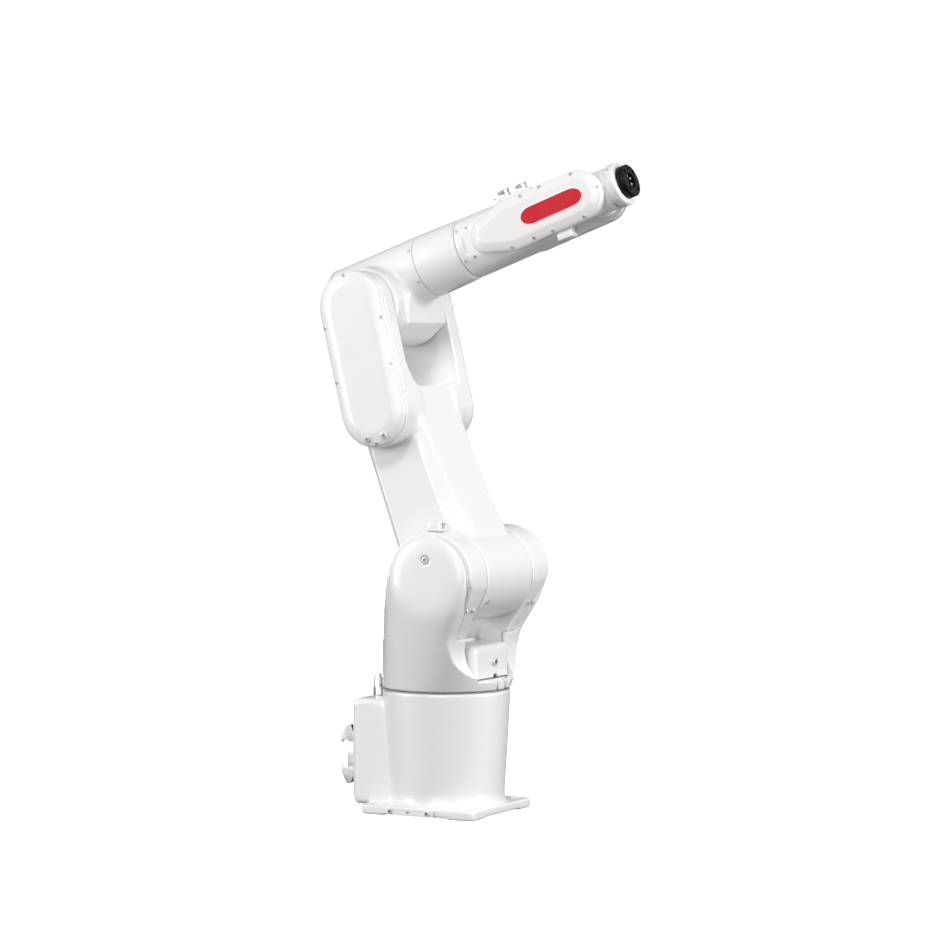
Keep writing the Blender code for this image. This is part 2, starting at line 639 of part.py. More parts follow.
def pulley(name, parent, centre, radius, y_low, y_high, bore=0.004):
    body = cylinder(name, parent, "Y", y_low, y_high, radius, "steel", centre=centre, segments=24)
    reach = (y_low - 0.01, y_high + 0.01)
    return boolean(body, cylinder(name + "_bore", parent, "Y", *reach, bore, centre=centre, segments=12))


def lower_arm_fittings():
    elbow_cover("elbow_cover_right", -1, COVER_Y, True)
    elbow_cover("elbow_cover_left", 1, 0.121, False)
    cylinder("j3_gearmotor", J2, "Y", -0.0955, 0.024, 0.0305, "motor_black", centre=ELBOW_FOOT, segments=24)
    motor_pulley = pulley("j3_motor_pulley", J2, (0, 0), BELT_R_MOTOR, -0.1090, -0.0980, 0.005)
    motor_pulley.location = (ELBOW_FOOT[0], 0, ELBOW_FOOT[1])
    belt_loop("j3_belt", J2, BELT_R_DRIVEN, ELBOW_ENDS[0], BELT_R_MOTOR, ELBOW_FOOT, -0.1085, -0.0985)
    for side, name in ((-1, "right"), (1, "left")):
        low, high = sorted((side * (FORK_HALF_Y + GAP), side * 0.0950))
        at = ELBOW_ENDS[0]
        race = cylinder(f"j3_bearing_{name}", J2, "Y", low, high, 0.0380, "steel", centre=at)
        reach = (low - 0.01, high + 0.01)
        boolean(race, cylinder(f"j3_race_bore_{name}", J2, "Y", *reach, 0.0245, centre=at, segments=24))
    cover_screw("elbow_cover_screw", J2, (-0.0170, 0.2565), -0.1284, -1, 0.0025, 0.0052)


# ---- Elbow --------------------------------------------------------------------------------

TUBE_AT = (0.0, ELBOW_RISE)  # the tube's axis in the third joint's frame: (y, z)


def elbow():
    """The third link: a wide hub across the fork, and a tube along the forearm above it."""
    reach = (-HUB3_HALF_Y, HUB3_HALF_Y)
    casting = cylinder("elbow_casting", J3, "Y", *reach, HUB3_R, "white_paint", segments=40)
    bevel(casting, 0.003, 1)
    widths = (HUB3_STEP_Y, HUB3_HALF_Y - 0.003)
    body = [ring("Y", y, HUB3_R, segments=40) for y in widths]
    body += [[(x, y, z) for x, z in HUB3_FRONT] for y in widths]
    boolean(casting, hull("elbow_body", J3, body), "UNION")
    reach = (TUBE_REAR_X, TUBE_FRONT_X)
    boolean(casting, cylinder("elbow_tube", J3, "X", *reach, TUBE_R, centre=TUBE_AT, segments=48), "UNION")
    boolean(casting, cylinder("elbow_tube_bore", J3, "X", -0.2, 0.2, 0.0440, centre=TUBE_AT, segments=32))
    for side, name in ((-1, "right"), (1, "left")):
        low, high = sorted((side * 0.058, side * 0.2))
        boolean(casting, cylinder(f"trunnion_seat_{name}", J3, "Y", low, high, 0.0200, segments=24))
        trunnion(name, side)
    steps = ((0, 0.0002), (0.0045, 0.002), (0.0090, 0.008), (0.0112, 0.018))
    rear = [ring("X", TUBE_REAR_X - GAP - back, TUBE_R - inset, TUBE_AT, 40) for back, inset in steps]
    hull("elbow_rear_cover", J3, rear, "white_paint")
    cylinder("j4_motor", J3, "X", -0.050, 0.055, 0.0350, "motor_black", centre=TUBE_AT, segments=24)
    cylinder("j4_reducer", J3, "X", 0.056, 0.150, 0.0415, "grey_zinc", centre=TUBE_AT, segments=32)
    roll_housing()
    return casting


def roll_housing():
    """The sleeve between the elbow's tube and the forearm, which stays with the elbow."""
    ends = ((TUBE_FRONT_X + GAP, TUBE_R - 0.0004), (J4_SEAM_X - GAP, FOREARM_R + 0.0006))
    rings = [ring("X", x, radius, TUBE_AT, 48) for x, radius in ends]
    housing = hull("j4_housing", J3, rings, "white_paint")
    return boolean(housing, cylinder("j4_housing_bore", J3, "X", 0.0, 0.3, 0.0425, centre=TUBE_AT))


def trunnion(name, side):
    """A stub shaft that turns with the elbow. The right one carries the belt's driven pulley."""
    low, high = sorted((side * 0.0585, side * 0.0955))
    shaft = cylinder(f"j3_shaft_{name}", J3, "Y", low, high, 0.0196, "steel", segments=24)
    if side < 0:
        rim = cylinder("j3_driven_pulley", J3, "Y", -0.1085, -0.0950, BELT_R_DRIVEN, segments=32)
        boolean(shaft, rim, "UNION")
        boolean(shaft, cylinder("j3_shaft_bore", J3, "Y", -0.2, -0.090, 0.010, segments=16))
    return shaft


# ---- Forearm ------------------------------------------------------------------------------


def forearm():
    form = [
        ring("X", J4_SEAM_X + GAP, FOREARM_R, segments=48),
        ring("X", J4_SEAM_X + 0.012, FOREARM_R, segments=48),
        ring("Y", -FORK_OUT_Y, FORK_END_R, (FOREARM_LENGTH, 0), 40),
        ring("Y", FORK_OUT_Y, FORK_END_R, (FOREARM_LENGTH, 0), 40),
    ]
    casting = hull("forearm_casting", J4, form, "white_paint")
    for side in (-1, 1):
        low, high = sorted((side * FORK_OUT_Y, side * 0.1))
        boolean(casting, box(f"cover_flat_{side}", J4, (0.192, low, -0.1), (0.6, high, 0.1)))
        reach = sorted((side * 0.030, side * 0.060))
        at = (FOREARM_LENGTH, 0)
        boolean(casting, cylinder(f"fork_bore_{side}", J4, "Y", *reach, 0.0125, centre=at, segments=24))
    half = WRIST_SLOT_HALF_Y
    boolean(casting, box("wrist_slot", J4, (WRIST_SLOT_X, -half, -0.1), (0.6, half, 0.1)))
    boolean(casting, box("drive_bay", J4, (0.206, -0.1, -0.026), (0.335, 0.1, 0.026)))
    boolean(casting, cylinder("reducer_seat", J4, "X", 0.1, 0.190, 0.030, segments=24))
    return casting


def forearm_cover(name, side):
    """A long cover with one round end, a bevelled rim and a narrower rear end."""
    y0 = FORK_OUT_Y + GAP
    rim = ((y0, 0.0), (y0 + 0.003, 0.0), (SIDE_COVER_Y - 0.0025, 0.006), (SIDE_COVER_Y, 0.0155))
    rings = []
    for y, inset in rim:
        rings.append(ring("Y", side * y, 0.0410 - inset, (FOREARM_LENGTH, 0), 32))
        rings.append(ring("Y", side * y, 0.0425 - inset, (0.262, 0), 32))
    rings.append(ring("Y", side * y0, 0.0290, (0.2225, 0), 24))
    rings.append(ring("Y", side * (y0 + 0.0045), 0.0200, (0.2160, 0), 24))
    cover = hull(name, J4, rings, "white_paint")
    ends = ((0.262, 0), (FOREARM_LENGTH, 0))
    hollow = ((side * 0.030, 0.034), (side * (SIDE_COVER_Y - 0.0035), 0.026))
    return boolean(cover, hull(name + "_hollow", J4, round_ended(hollow, ends, 20)))


def forearm_fittings():
    forearm_cover("forearm_cover_right", -1)
    forearm_cover("forearm_cover_left", 1)
    motor_at = (0.315, 0)
    cylinder("j5_gearmotor", J4, "Y", -0.0455, 0.0440, 0.0165, "motor_black", centre=motor_at, segments=20)
    motor_pulley = pulley("j5_motor_pulley", J4, (0, 0), 0.0100, -0.0525, -0.0465, 0.003)
    motor_pulley.location = (motor_at[0], 0, 0)
    belt_loop("j5_belt", J4, 0.0220, (FOREARM_LENGTH, 0), 0.0100, motor_at, -0.0522, -0.0468)
    cylinder("j6_gearmotor", J4, "X", 0.210, 0.292, 0.0180, "motor_black", centre=(0.006, 0.0), segments=20)
    lid_z = 0.0530
    foot = [(x, y, z) for x, z in ((0.262, 0.0473), (0.318, 0.0450)) for y in (-0.017, 0.017)]
    lid = [(x, y, lid_z) for x in (0.262, 0.318) for y in (-0.017, 0.017)]
    bevel(hull("air_port_block", J4, (foot, lid), "white_paint"), 0.0012, 1)
    for number, at in ((1, (0.274, -0.006)), (2, (0.304, 0.0))):
        reach = (lid_z + GAP, lid_z + 0.0065)
        name = f"air_port_{number}"
        port = cylinder(name, J4, "Z", *reach, 0.0048, "brass_nickel", centre=at, segments=16)
        reach = (lid_z + 0.0030, lid_z + 0.0130)
        boolean(port, cylinder(name + "_bore", J4, "Z", *reach, 0.0024, centre=at, segments=10))
    bracket = box("cable_bracket", J4, (0.352, -0.0455, -0.0545), (0.378, -0.0372, -0.0434), "white_paint")
    bevel(bracket, 0.0012, 1)


# ---- Wrist and tool flange ----------------------------------------------------------------


def wrist():
    reach = (-WRIST_HALF_Y, WRIST_HALF_Y)
    body = cylinder("wrist_housing", J5, "Y", *reach, WRIST_R, "white_paint", segments=40)
    steps = ((0.004, WRIST_R), (0.036, WRIST_R), (RING_START - GAP, WRIST_R - 0.003))
    neck = [ring("X", x, r, segments=40) for x, r in steps]
    boolean(body, hull("wrist_neck", J5, neck), "UNION")
    boolean(body, cylinder("gearbox_seat", J5, "X", 0.006, 0.08, 0.0240, segments=24))
    ring_cap = cylinder("wrist_ring", J5, "X", RING_START, RING_END, RING_R, "white_paint", segments=40)
    bevel(ring_cap, 0.0015, 2)
    boolean(ring_cap, cylinder("ring_bore", J5, "X", 0.0, 0.1, 0.0245, segments=32))
    cylinder("j6_gearbox", J5, "X", 0.0065, 0.0500, 0.0236, "grey_zinc", segments=24)
    for side, name in ((-1, "right"), (1, "left")):
        low, high = sorted((side * (WRIST_HALF_Y + GAP), side * 0.0466))
        shaft = cylinder(f"j5_shaft_{name}", J5, "Y", low, high, 0.0121, "steel", segments=20)
        if side < 0:
            rim = cylinder("j5_driven_pulley", J5, "Y", -0.0525, -0.0464, 0.0220, segments=32)
            boolean(shaft, rim, "UNION")
    return body


def tool_flange():
    """The black flange: a spigot in the wrist, a centre bore, four tool holes and a dowel hole."""
    reach = (RING_END + 0.0006, FLANGE_FACE)
    flange = cylinder("tool_flange", J6, "X", *reach, FLANGE_R, "black_anodised", segments=40)
    bevel(flange, 0.0008, 1)
    boolean(flange, cylinder("spigot", J6, "X", 0.0505, RING_END + 0.002, 0.0240, segments=32), "UNION")
    boolean(flange, cylinder("flange_bore", J6, "X", FLANGE_FACE - 0.006, 0.1, FLANGE_BORE_R, segments=24))
    for i in range(4):
        angle = math.pi / 4 + i * math.pi / 2
        centre = (FLANGE_PCD_R * math.cos(angle), FLANGE_PCD_R * math.sin(angle))
        reach = (FLANGE_FACE - 0.008, 0.1)
        hole = cylinder(f"tool_hole_{i}", J6, "X", *reach, FLANGE_HOLE_R, centre=centre, segments=12)
        boolean(flange, hole)
    reach = (FLANGE_FACE - 0.006, 0.1)
    dowel = cylinder("dowel_hole", J6, "X", *reach, 0.0025, centre=(0, FLANGE_PCD_R), segments=12)
    return boolean(flange, dowel)


def build():
    base_housing()
    rear_panel()
    connector()
    air_inlet("air_inlet_right", -0.018)
    air_inlet("air_inlet_left", 0.018)
    base_side_plate()
    base_internals()
    shoulder()
    shoulder_fittings()
    lower_arm()
    lower_arm_fittings()
    elbow()
    forearm()
    forearm_fittings()
    wrist()
    tool_flange()


build()
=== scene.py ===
import json
import math

import bmesh
import bpy
import numpy as np
from mathutils import Matrix, Vector


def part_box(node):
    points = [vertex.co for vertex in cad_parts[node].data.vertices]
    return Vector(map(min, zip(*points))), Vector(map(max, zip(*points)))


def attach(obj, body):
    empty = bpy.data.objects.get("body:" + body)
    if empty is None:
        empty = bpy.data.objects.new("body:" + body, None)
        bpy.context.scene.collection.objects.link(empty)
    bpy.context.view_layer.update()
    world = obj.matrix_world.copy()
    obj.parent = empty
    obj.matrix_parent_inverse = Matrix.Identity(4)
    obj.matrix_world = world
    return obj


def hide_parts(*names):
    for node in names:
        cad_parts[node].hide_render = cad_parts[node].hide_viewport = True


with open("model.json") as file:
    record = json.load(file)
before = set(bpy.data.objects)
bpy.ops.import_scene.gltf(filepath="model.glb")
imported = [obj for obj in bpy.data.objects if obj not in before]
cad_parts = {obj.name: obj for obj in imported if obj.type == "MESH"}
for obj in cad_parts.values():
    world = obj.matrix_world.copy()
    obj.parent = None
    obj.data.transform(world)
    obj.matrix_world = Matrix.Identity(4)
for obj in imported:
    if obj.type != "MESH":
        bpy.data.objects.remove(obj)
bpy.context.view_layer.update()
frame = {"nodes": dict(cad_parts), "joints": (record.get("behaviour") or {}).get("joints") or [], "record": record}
NODES = frame["nodes"]

# ---- The joints' frames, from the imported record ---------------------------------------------

JOINTS = {j["name"]: j for j in frame["joints"]}
SHOULDER = Vector(JOINTS["j2_shoulder"]["pos_m"])
ELBOW = Vector(JOINTS["j3_elbow"]["pos_m"])
ROLL = Vector(JOINTS["j4_forearm_roll"]["pos_m"])
WRIST = Vector(JOINTS["j5_wrist_bend"]["pos_m"])
FOREARM_AXIS = Vector(JOINTS["j4_forearm_roll"]["axis"]).normalized()


def local_frame(origin, x_axis):
    """A frame at origin whose x runs along x_axis in the XZ plane and whose y is the arm's left."""
    x = Vector(x_axis).normalized()
    y = Vector((0, 1, 0))
    z = x.cross(y)
    turned = Matrix((x, y, z)).transposed().to_4x4()
    return Matrix.Translation(origin) @ turned


ARM_UP = (ELBOW - SHOULDER).normalized()
F0 = Matrix.Identity(4)
F2 = local_frame(SHOULDER, Vector((0, 1, 0)).cross(ARM_UP))
F3 = local_frame(ELBOW, FOREARM_AXIS)
F4 = local_frame(ROLL, FOREARM_AXIS)
F5 = local_frame(WRIST, FOREARM_AXIS)
ARM_LENGTH = (ELBOW - SHOULDER).length
RISE = (ROLL - ELBOW).length
REACH = (WRIST - ROLL).length
SHOULDER_AT = (SHOULDER.x, SHOULDER.z)

# ---- Materials ------------------------------------------------------------------------------


def shader_of(name, colour, metallic, roughness, coat=0.0):
    material = bpy.data.materials.new(name)
    material.use_nodes = True
    shader = material.node_tree.nodes["Principled BSDF"]
    shader.inputs["Base Color"].default_value = (*colour, 1)
    shader.inputs["Metallic"].default_value = metallic
    shader.inputs["Roughness"].default_value = roughness
    shader.inputs["Coat Weight"].default_value = coat
    shader.inputs["Coat Roughness"].default_value = 0.12
    return material, material.node_tree, shader


def noise(tree, scale, detail=4, rough=0.55, stretch=(1, 1, 1)):
    coords = tree.nodes.new("ShaderNodeTexCoord")
    mapping = tree.nodes.new("ShaderNodeMapping")
    mapping.inputs["Scale"].default_value = stretch
    texture = tree.nodes.new("ShaderNodeTexNoise")
    texture.inputs["Scale"].default_value = scale
    texture.inputs["Detail"].default_value = detail
    texture.inputs["Roughness"].default_value = rough
    tree.links.new(coords.outputs["Object"], mapping.inputs["Vector"])
    tree.links.new(mapping.outputs["Vector"], texture.inputs["Vector"])
    return texture.outputs["Fac"]


def between(tree, factor, low, high, from_low=0.3, from_high=0.7):
    """Maps a factor onto a range of numbers."""
    node = tree.nodes.new("ShaderNodeMapRange")
    node.inputs["From Min"].default_value = from_low
    node.inputs["From Max"].default_value = from_high
    node.inputs["To Min"].default_value = low
    node.inputs["To Max"].default_value = high
    tree.links.new(factor, node.inputs["Value"])
    return node.outputs["Result"]


def ramp(tree, factor, stops):
    node = tree.nodes.new("ShaderNodeValToRGB")
    elements = node.color_ramp.elements
    for i, (position, colour) in enumerate(stops):
        element = elements[i] if i < 2 else elements.new(position)
        element.position = position
        element.color = (*colour, 1)
    tree.links.new(factor, node.inputs["Fac"])
    return node.outputs["Color"]


def bump(tree, shader, height, strength, distance):
    node = tree.nodes.new("ShaderNodeBump")
    node.inputs["Strength"].default_value = strength
    node.inputs["Distance"].default_value = distance
    tree.links.new(height, node.inputs["Height"])
    tree.links.new(node.outputs["Normal"], shader.inputs["Normal"])


def painted(name, colour, roughness, coat, peel=900, depth=0.00012, spread=0.03):
    """Sprayed paint: faint cloudiness, uneven gloss, and orange peel in the surface."""
    material, tree, shader = shader_of(name, colour, 0.0, roughness, coat)
    darker = tuple(c * (1 - spread) for c in colour)
    lighter = tuple(min(1.0, c * (1 + spread * 0.5)) for c in colour)
    cloud = noise(tree, 9, 2)
    tree.links.new(ramp(tree, cloud, ((0.3, darker), (0.7, lighter))), shader.inputs["Base Color"])
    gloss = between(tree, noise(tree, 22, 2), roughness - 0.02, roughness + 0.03)
    tree.links.new(gloss, shader.inputs["Roughness"])
    bump(tree, shader, noise(tree, peel, 2), 0.35, depth)
    return material


def metal(name, colour, roughness, stretch=(1, 1, 1), scale=260, depth=0.0001, metallic=1.0):
    """Bare or plated metal with tool marks along one direction and small stains."""
    material, tree, shader = shader_of(name, colour, metallic, roughness)
    darker = tuple(c * 0.72 for c in colour)
    stain = noise(tree, 90, 6)
    tree.links.new(ramp(tree, stain, ((0.32, darker), (0.62, colour))), shader.inputs["Base Color"])
    marks = noise(tree, scale, 4, 0.6, stretch)
    tree.links.new(between(tree, marks, roughness - 0.08, roughness + 0.14), shader.inputs["Roughness"])
    bump(tree, shader, marks, 0.4, depth)
    return material


WHITE = painted("white_powder_coat", (0.80, 0.79, 0.785), 0.32, 0.45, spread=0.012)
SEAL = painted("grey_seam_sealant", (0.38, 0.375, 0.37), 0.60, 0.0, peel=620, depth=0.0002, spread=0.1)
FACE_PLATE = painted("white_cover_face", (0.74, 0.735, 0.725), 0.36, 0.2)
RED = painted("red_badge_enamel", (0.58, 0.004, 0.018), 0.30, 0.15, peel=1400, depth=0.00005, spread=0.06)
BADGE_RIM = painted("badge_rim_enamel", (0.86, 0.855, 0.85), 0.25, 0.4, peel=1400, depth=0.00005)
BLACK = metal("black_anodised_aluminium", (0.030, 0.030, 0.034), 0.38, (1, 6, 6), 340)
STEEL = metal("turned_steel", (0.74, 0.74, 0.75), 0.34, (8, 1, 8), 240)
SCREW = metal("zinc_plated_screw", (0.78, 0.77, 0.76), 0.42, (1, 1, 1), 700, 0.00006, 0.45)
ZINC = metal("cast_zinc", (0.80, 0.80, 0.81), 0.46, (1, 1, 1), 420, 0.0002)
NICKEL = metal("nickel_plated_brass", (0.84, 0.83, 0.81), 0.28, (1, 1, 6), 380)
MOTOR = painted("black_motor_enamel", (0.022, 0.022, 0.025), 0.42, 0.1, peel=380, depth=0.0003, spread=0.25)
DARK = painted("dark_seal_rubber", (0.020, 0.020, 0.021), 0.62, 0.0, peel=620, depth=0.0003, spread=0.3)
INSERT = painted(
    "contact_insert_plastic", (0.045, 0.046, 0.05), 0.48, 0.0, peel=520, depth=0.0002, spread=0.2
)

SLOT_MATERIALS = {
    "white_paint": WHITE,
    "black_anodised": BLACK,
    "steel": STEEL,
    "grey_zinc": ZINC,
    "motor_black": MOTOR,
    "brass_nickel": NICKEL,
    "rubber": DARK,
}

# ---- Mesh helpers: every bmesh is made in a joint's frame, then moved into the row frame ----

SEG = 144


def ring(axis, at, radius, centre=(0, 0), n=SEG):
    points = []
    for i in range(n):
        angle = 2 * math.pi * i / n
        a, b = centre[0] + radius * math.cos(angle), centre[1] + radius * math.sin(angle)
        points.append({"X": (at, a, b), "Y": (a, at, b), "Z": (a, b, at)}[axis])
    return points


def hull(*rings):
    bm = bmesh.new()
    for point in [p for points in rings for p in points]:
        bm.verts.new(point)
    made = bmesh.ops.convex_hull(bm, input=bm.verts)
    loose = {g for g in made["geom_interior"] + made["geom_unused"] if isinstance(g, bmesh.types.BMVert)}
    bmesh.ops.delete(bm, geom=list(loose), context="VERTS")
    return bm


def rod(axis, start, end, radius, centre=(0, 0), radius_end=None, n=SEG):
    low, high = sorted((start, end))
    if start > end and radius_end is not None:
        radius, radius_end = radius_end, radius
    return hull(
        ring(axis, low, radius, centre, n),
        ring(axis, high, radius if radius_end is None else radius_end, centre, n),
    )


def block(low, high, rounding=0.0, n=12):
    """A box, or the hull of a ball in each corner when its edges are rounded."""
    low, high = [Vector((f(a, b) for a, b in zip(low, high))) for f in (min, max)]
    points = []
    for x in (low.x + rounding, high.x - rounding):
        for y in (low.y + rounding, high.y - rounding):
            for z in (low.z + rounding, high.z - rounding):
                if not rounding:
                    points.append((x, y, z))
                    continue
                for i in range(n + 1):
                    tilt = math.pi * i / n
                    for k in range(2 * n):
                        turn = math.pi * k / n
                        ball = Vector(
                            (
                                math.sin(tilt) * math.cos(turn), math.sin(tilt) * math.sin(turn),
                                math.cos(tilt)
                            )
                        )
                        points.append(tuple(Vector((x, y, z)) + rounding * ball))
    return hull(points)


def smooth_path(points, steps=8):
    """A smooth curve through points."""
    path = []
    padded = [points[0], *points, points[-1]]
    for a, b, c, d in zip(padded, padded[1:], padded[2:], padded[3:]):
        a, b, c, d = (np.array(q, float) for q in (a, b, c, d))
        for i in range(steps):
            t = i / steps
            curve = 2 * b + (c - a) * t + (2 * a - 5 * b + 4 * c - d) * t**2 + (3 * b - a - 3 * c + d) * t**3
            path.append(tuple(0.5 * curve))
    return path + [tuple(points[-1])]


def prism(outline, low_y, high_y):
    """A closed (x, z) outline with its width along Y."""
    bm = bmesh.new()
    near = [bm.verts.new((x, low_y, z)) for x, z in outline]
    far = [bm.verts.new((x, high_y, z)) for x, z in outline]
    caps = [bm.faces.new(near), bm.faces.new(reversed(far))]
    for i in range(len(near)):
        j = (i + 1) % len(near)
        bm.faces.new((near[j], near[i], far[i], far[j]))
    bmesh.ops.triangulate(bm, faces=caps)
    return bm


def loft(rows):
    """A closed skin through rows of points, capped at both ends."""
    bm = bmesh.new()
    rows = [[bm.verts.new(p) for p in row] for row in rows]
    for low, high in zip(rows, rows[1:]):
        for i in range(len(low)):
            j = (i + 1) % len(low)
            bm.faces.new((low[i], low[j], high[j], high[i]))
    bmesh.ops.triangulate(bm, faces=[bm.faces.new(reversed(rows[0])), bm.faces.new(rows[-1])])
    return bm


def turned(profile, n=SEG):
    """A solid turned about Z from (radius, z) points, bottom to top."""
    return loft([ring("Z", z, r, n=n) for r, z in profile])


def capsule(steps, ends, n=SEG):
    """Rings for a block with round ends across Y: at each (y, radius), a circle round each end."""
    return [ring("Y", y, r, end, n) for y, r in steps for end in ends]


def thing(name, bm):
    bmesh.ops.recalc_face_normals(bm, faces=bm.faces)
    mesh = bpy.data.meshes.new(name)
    bm.to_mesh(mesh)
    bm.free()
    obj = bpy.data.objects.new(name, mesh)
    bpy.context.scene.collection.objects.link(obj)
    return obj


def baked(obj):
    """Applies obj's modifiers."""
    graph = bpy.context.evaluated_depsgraph_get()
    mesh = bpy.data.meshes.new_from_object(obj.evaluated_get(graph))
    old = obj.data
    obj.modifiers.clear()
    obj.data = mesh
    bpy.data.meshes.remove(old)
    return obj


def boolean(obj, tool, operation="DIFFERENCE"):
    """Joins a bmesh or object to obj, or cuts it away. The tool is used up."""
    if isinstance(tool, bmesh.types.BMesh):
        tool = thing(obj.name + "_tool", tool)
    modifier = obj.modifiers.new("boolean", "BOOLEAN")
    modifier.operation = operation
    modifier.object = tool
    modifier.solver = "EXACT"
    baked(obj)
    bpy.data.objects.remove(tool)
    return obj


def cut(obj, *tools):
    for tool in tools:
        boolean(obj, tool)
    return obj


def join(obj, *tools):
    for tool in tools:
        boolean(obj, tool, "UNION")
    return obj


def relax(mesh, steps, weight=None):
    """Laplacian smoothing. weight, a number from 0 to 1 for each vertex, says how much of it each gets."""
    count = len(mesh.vertices)
    points = np.empty(count * 3)
    mesh.vertices.foreach_get("co", points)
    points = points.reshape(-1, 3)
    edges = np.empty(len(mesh.edges) * 2, np.int64)
    mesh.edges.foreach_get("vertices", edges)
    edges = edges.reshape(-1, 2)
    if weight is not None:
        edges = edges[(weight[edges] > 0).any(axis=1)]
    degree = np.maximum(np.bincount(edges.ravel(), minlength=count), 1)[:, None]
    gain = 0.5 if weight is None else 0.5 * weight[:, None]
    for _ in range(steps):
        total = np.empty_like(points)
        for axis in range(3):
            total[:, axis] = np.bincount(edges[:, 0], points[edges[:, 1], axis], count)
            total[:, axis] += np.bincount(edges[:, 1], points[edges[:, 0], axis], count)
        points += gain * (total / degree - points)
    mesh.vertices.foreach_set("co", points.ravel())
    mesh.update()
    return points


def cast(obj, voxel=0.0016, steps=7):
    """Rounds every edge a little, as paint over a casting does."""
    modifier = obj.modifiers.new("remesh", "REMESH")
    modifier.mode = "VOXEL"
    modifier.voxel_size = voxel
    baked(obj)
    relax(obj.data, steps)
    return obj


def near(values, centre, reach, peak=1.0):
    """A weight of peak at centre that falls by 1 over each reach."""
    return peak - np.abs(values - centre) / reach


def within(values, low, high):
    return (values > low) & (values < high)


def blend_near(obj, steps, weight_of):
    """Extra smoothing where weight_of(points) is above 0, for the large fillets between forms."""
    points = np.empty(len(obj.data.vertices) * 3)
    obj.data.vertices.foreach_get("co", points)
    weight = np.clip(weight_of(points.reshape(-1, 3)), 0, 1)
    relax(obj.data, steps, weight)
    return obj


def place(obj, matrix, body, material, stands_for=(), smooth=True):
    """Moves a finished piece into the row frame and ties it to its body."""
    obj.data.transform(matrix)
    obj.data.materials.clear()
    obj.data.materials.append(material)
    if smooth:
        obj.data.shade_smooth()
    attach(obj, body)
    if stands_for:
        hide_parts(*stands_for)
    return obj


def crisp(obj, angle=32):
    obj.data.set_sharp_from_angle(angle=math.radians(angle))
    return obj


def joined(name, parts):
    """Several meshes as one piece."""
    bm = bmesh.new()
    for part in parts:
        mesh = bpy.data.meshes.new("part")
        bmesh.ops.recalc_face_normals(part, faces=part.faces)
        part.to_mesh(mesh)
        part.free()
        bm.from_mesh(mesh)
        bpy.data.meshes.remove(mesh)
    mesh = bpy.data.meshes.new(name)
    bm.to_mesh(mesh)
    bm.free()
    obj = bpy.data.objects.new(name, mesh)
    bpy.context.scene.collection.objects.link(obj)
    return obj


# ---- Fasteners ------------------------------------------------------------------------------


def screw_mesh(point, normal, radius, height=None, hexagon=True):
    """A socket-head screw at a point, its axis along the normal."""
    height = radius * 0.75 if height is None else height
    edge = radius * 0.14
    n = 28
    key = 6 if hexagon else 20
    well = radius * 0.52
    rows = [
        ring("Z", -radius * 0.5, radius, n=n),
        ring("Z", height - edge, radius, n=n),
        ring("Z", height - edge * 0.3, radius - edge * 0.3, n=n),
        ring("Z", height, radius - edge, n=n),
    ]
    bm = bmesh.new()
    made = [[bm.verts.new(p) for p in row] for row in rows]
    for low, high in zip(made, made[1:]):
        for i in range(n):
            j = (i + 1) % n
            bm.faces.new((low[i], low[j], high[j], high[i]))
    bm.faces.new(reversed(made[0]))
    mouth = [bm.verts.new(p) for p in ring("Z", height, well, n=key)]
    floor = [bm.verts.new(p) for p in ring("Z", height * 0.35, well * 0.96, n=key)]
    bmesh.ops.bridge_loops(bm, edges=loop_edges(bm, made[-1]) + loop_edges(bm, mouth))
    for i in range(key):
        j = (i + 1) % key
        bm.faces.new((mouth[i], mouth[j], floor[j], floor[i]))
    bm.faces.new(floor)
    turn = Vector(normal).to_track_quat("Z", "Y").to_matrix().to_4x4()
    bmesh.ops.transform(bm, matrix=Matrix.Translation(point) @ turn, verts=bm.verts)
    return bm


def loop_edges(bm, verts):
    found = []
    for i, a in enumerate(verts):
        b = verts[(i + 1) % len(verts)]
        found.append(bm.edges.get((a, b)) or bm.edges.new((a, b)))
    return found


def screws(name, places, matrix, body, material=None, **shape):
    """places holds (point, normal, radius) in the frame of matrix."""
    obj = joined(name, [screw_mesh(p, n, r, **shape) for p, n, r in places])
    place(obj, matrix, body, material or SCREW)
    return crisp(obj)


# ---- Base -----------------------------------------------------------------------------------


def box_meets_tub(p):
    return near(p[:, 0], -0.074, 0.030) * (p[:, 2] >= 0.03) * (np.abs(p[:, 1]) >= 0.055)


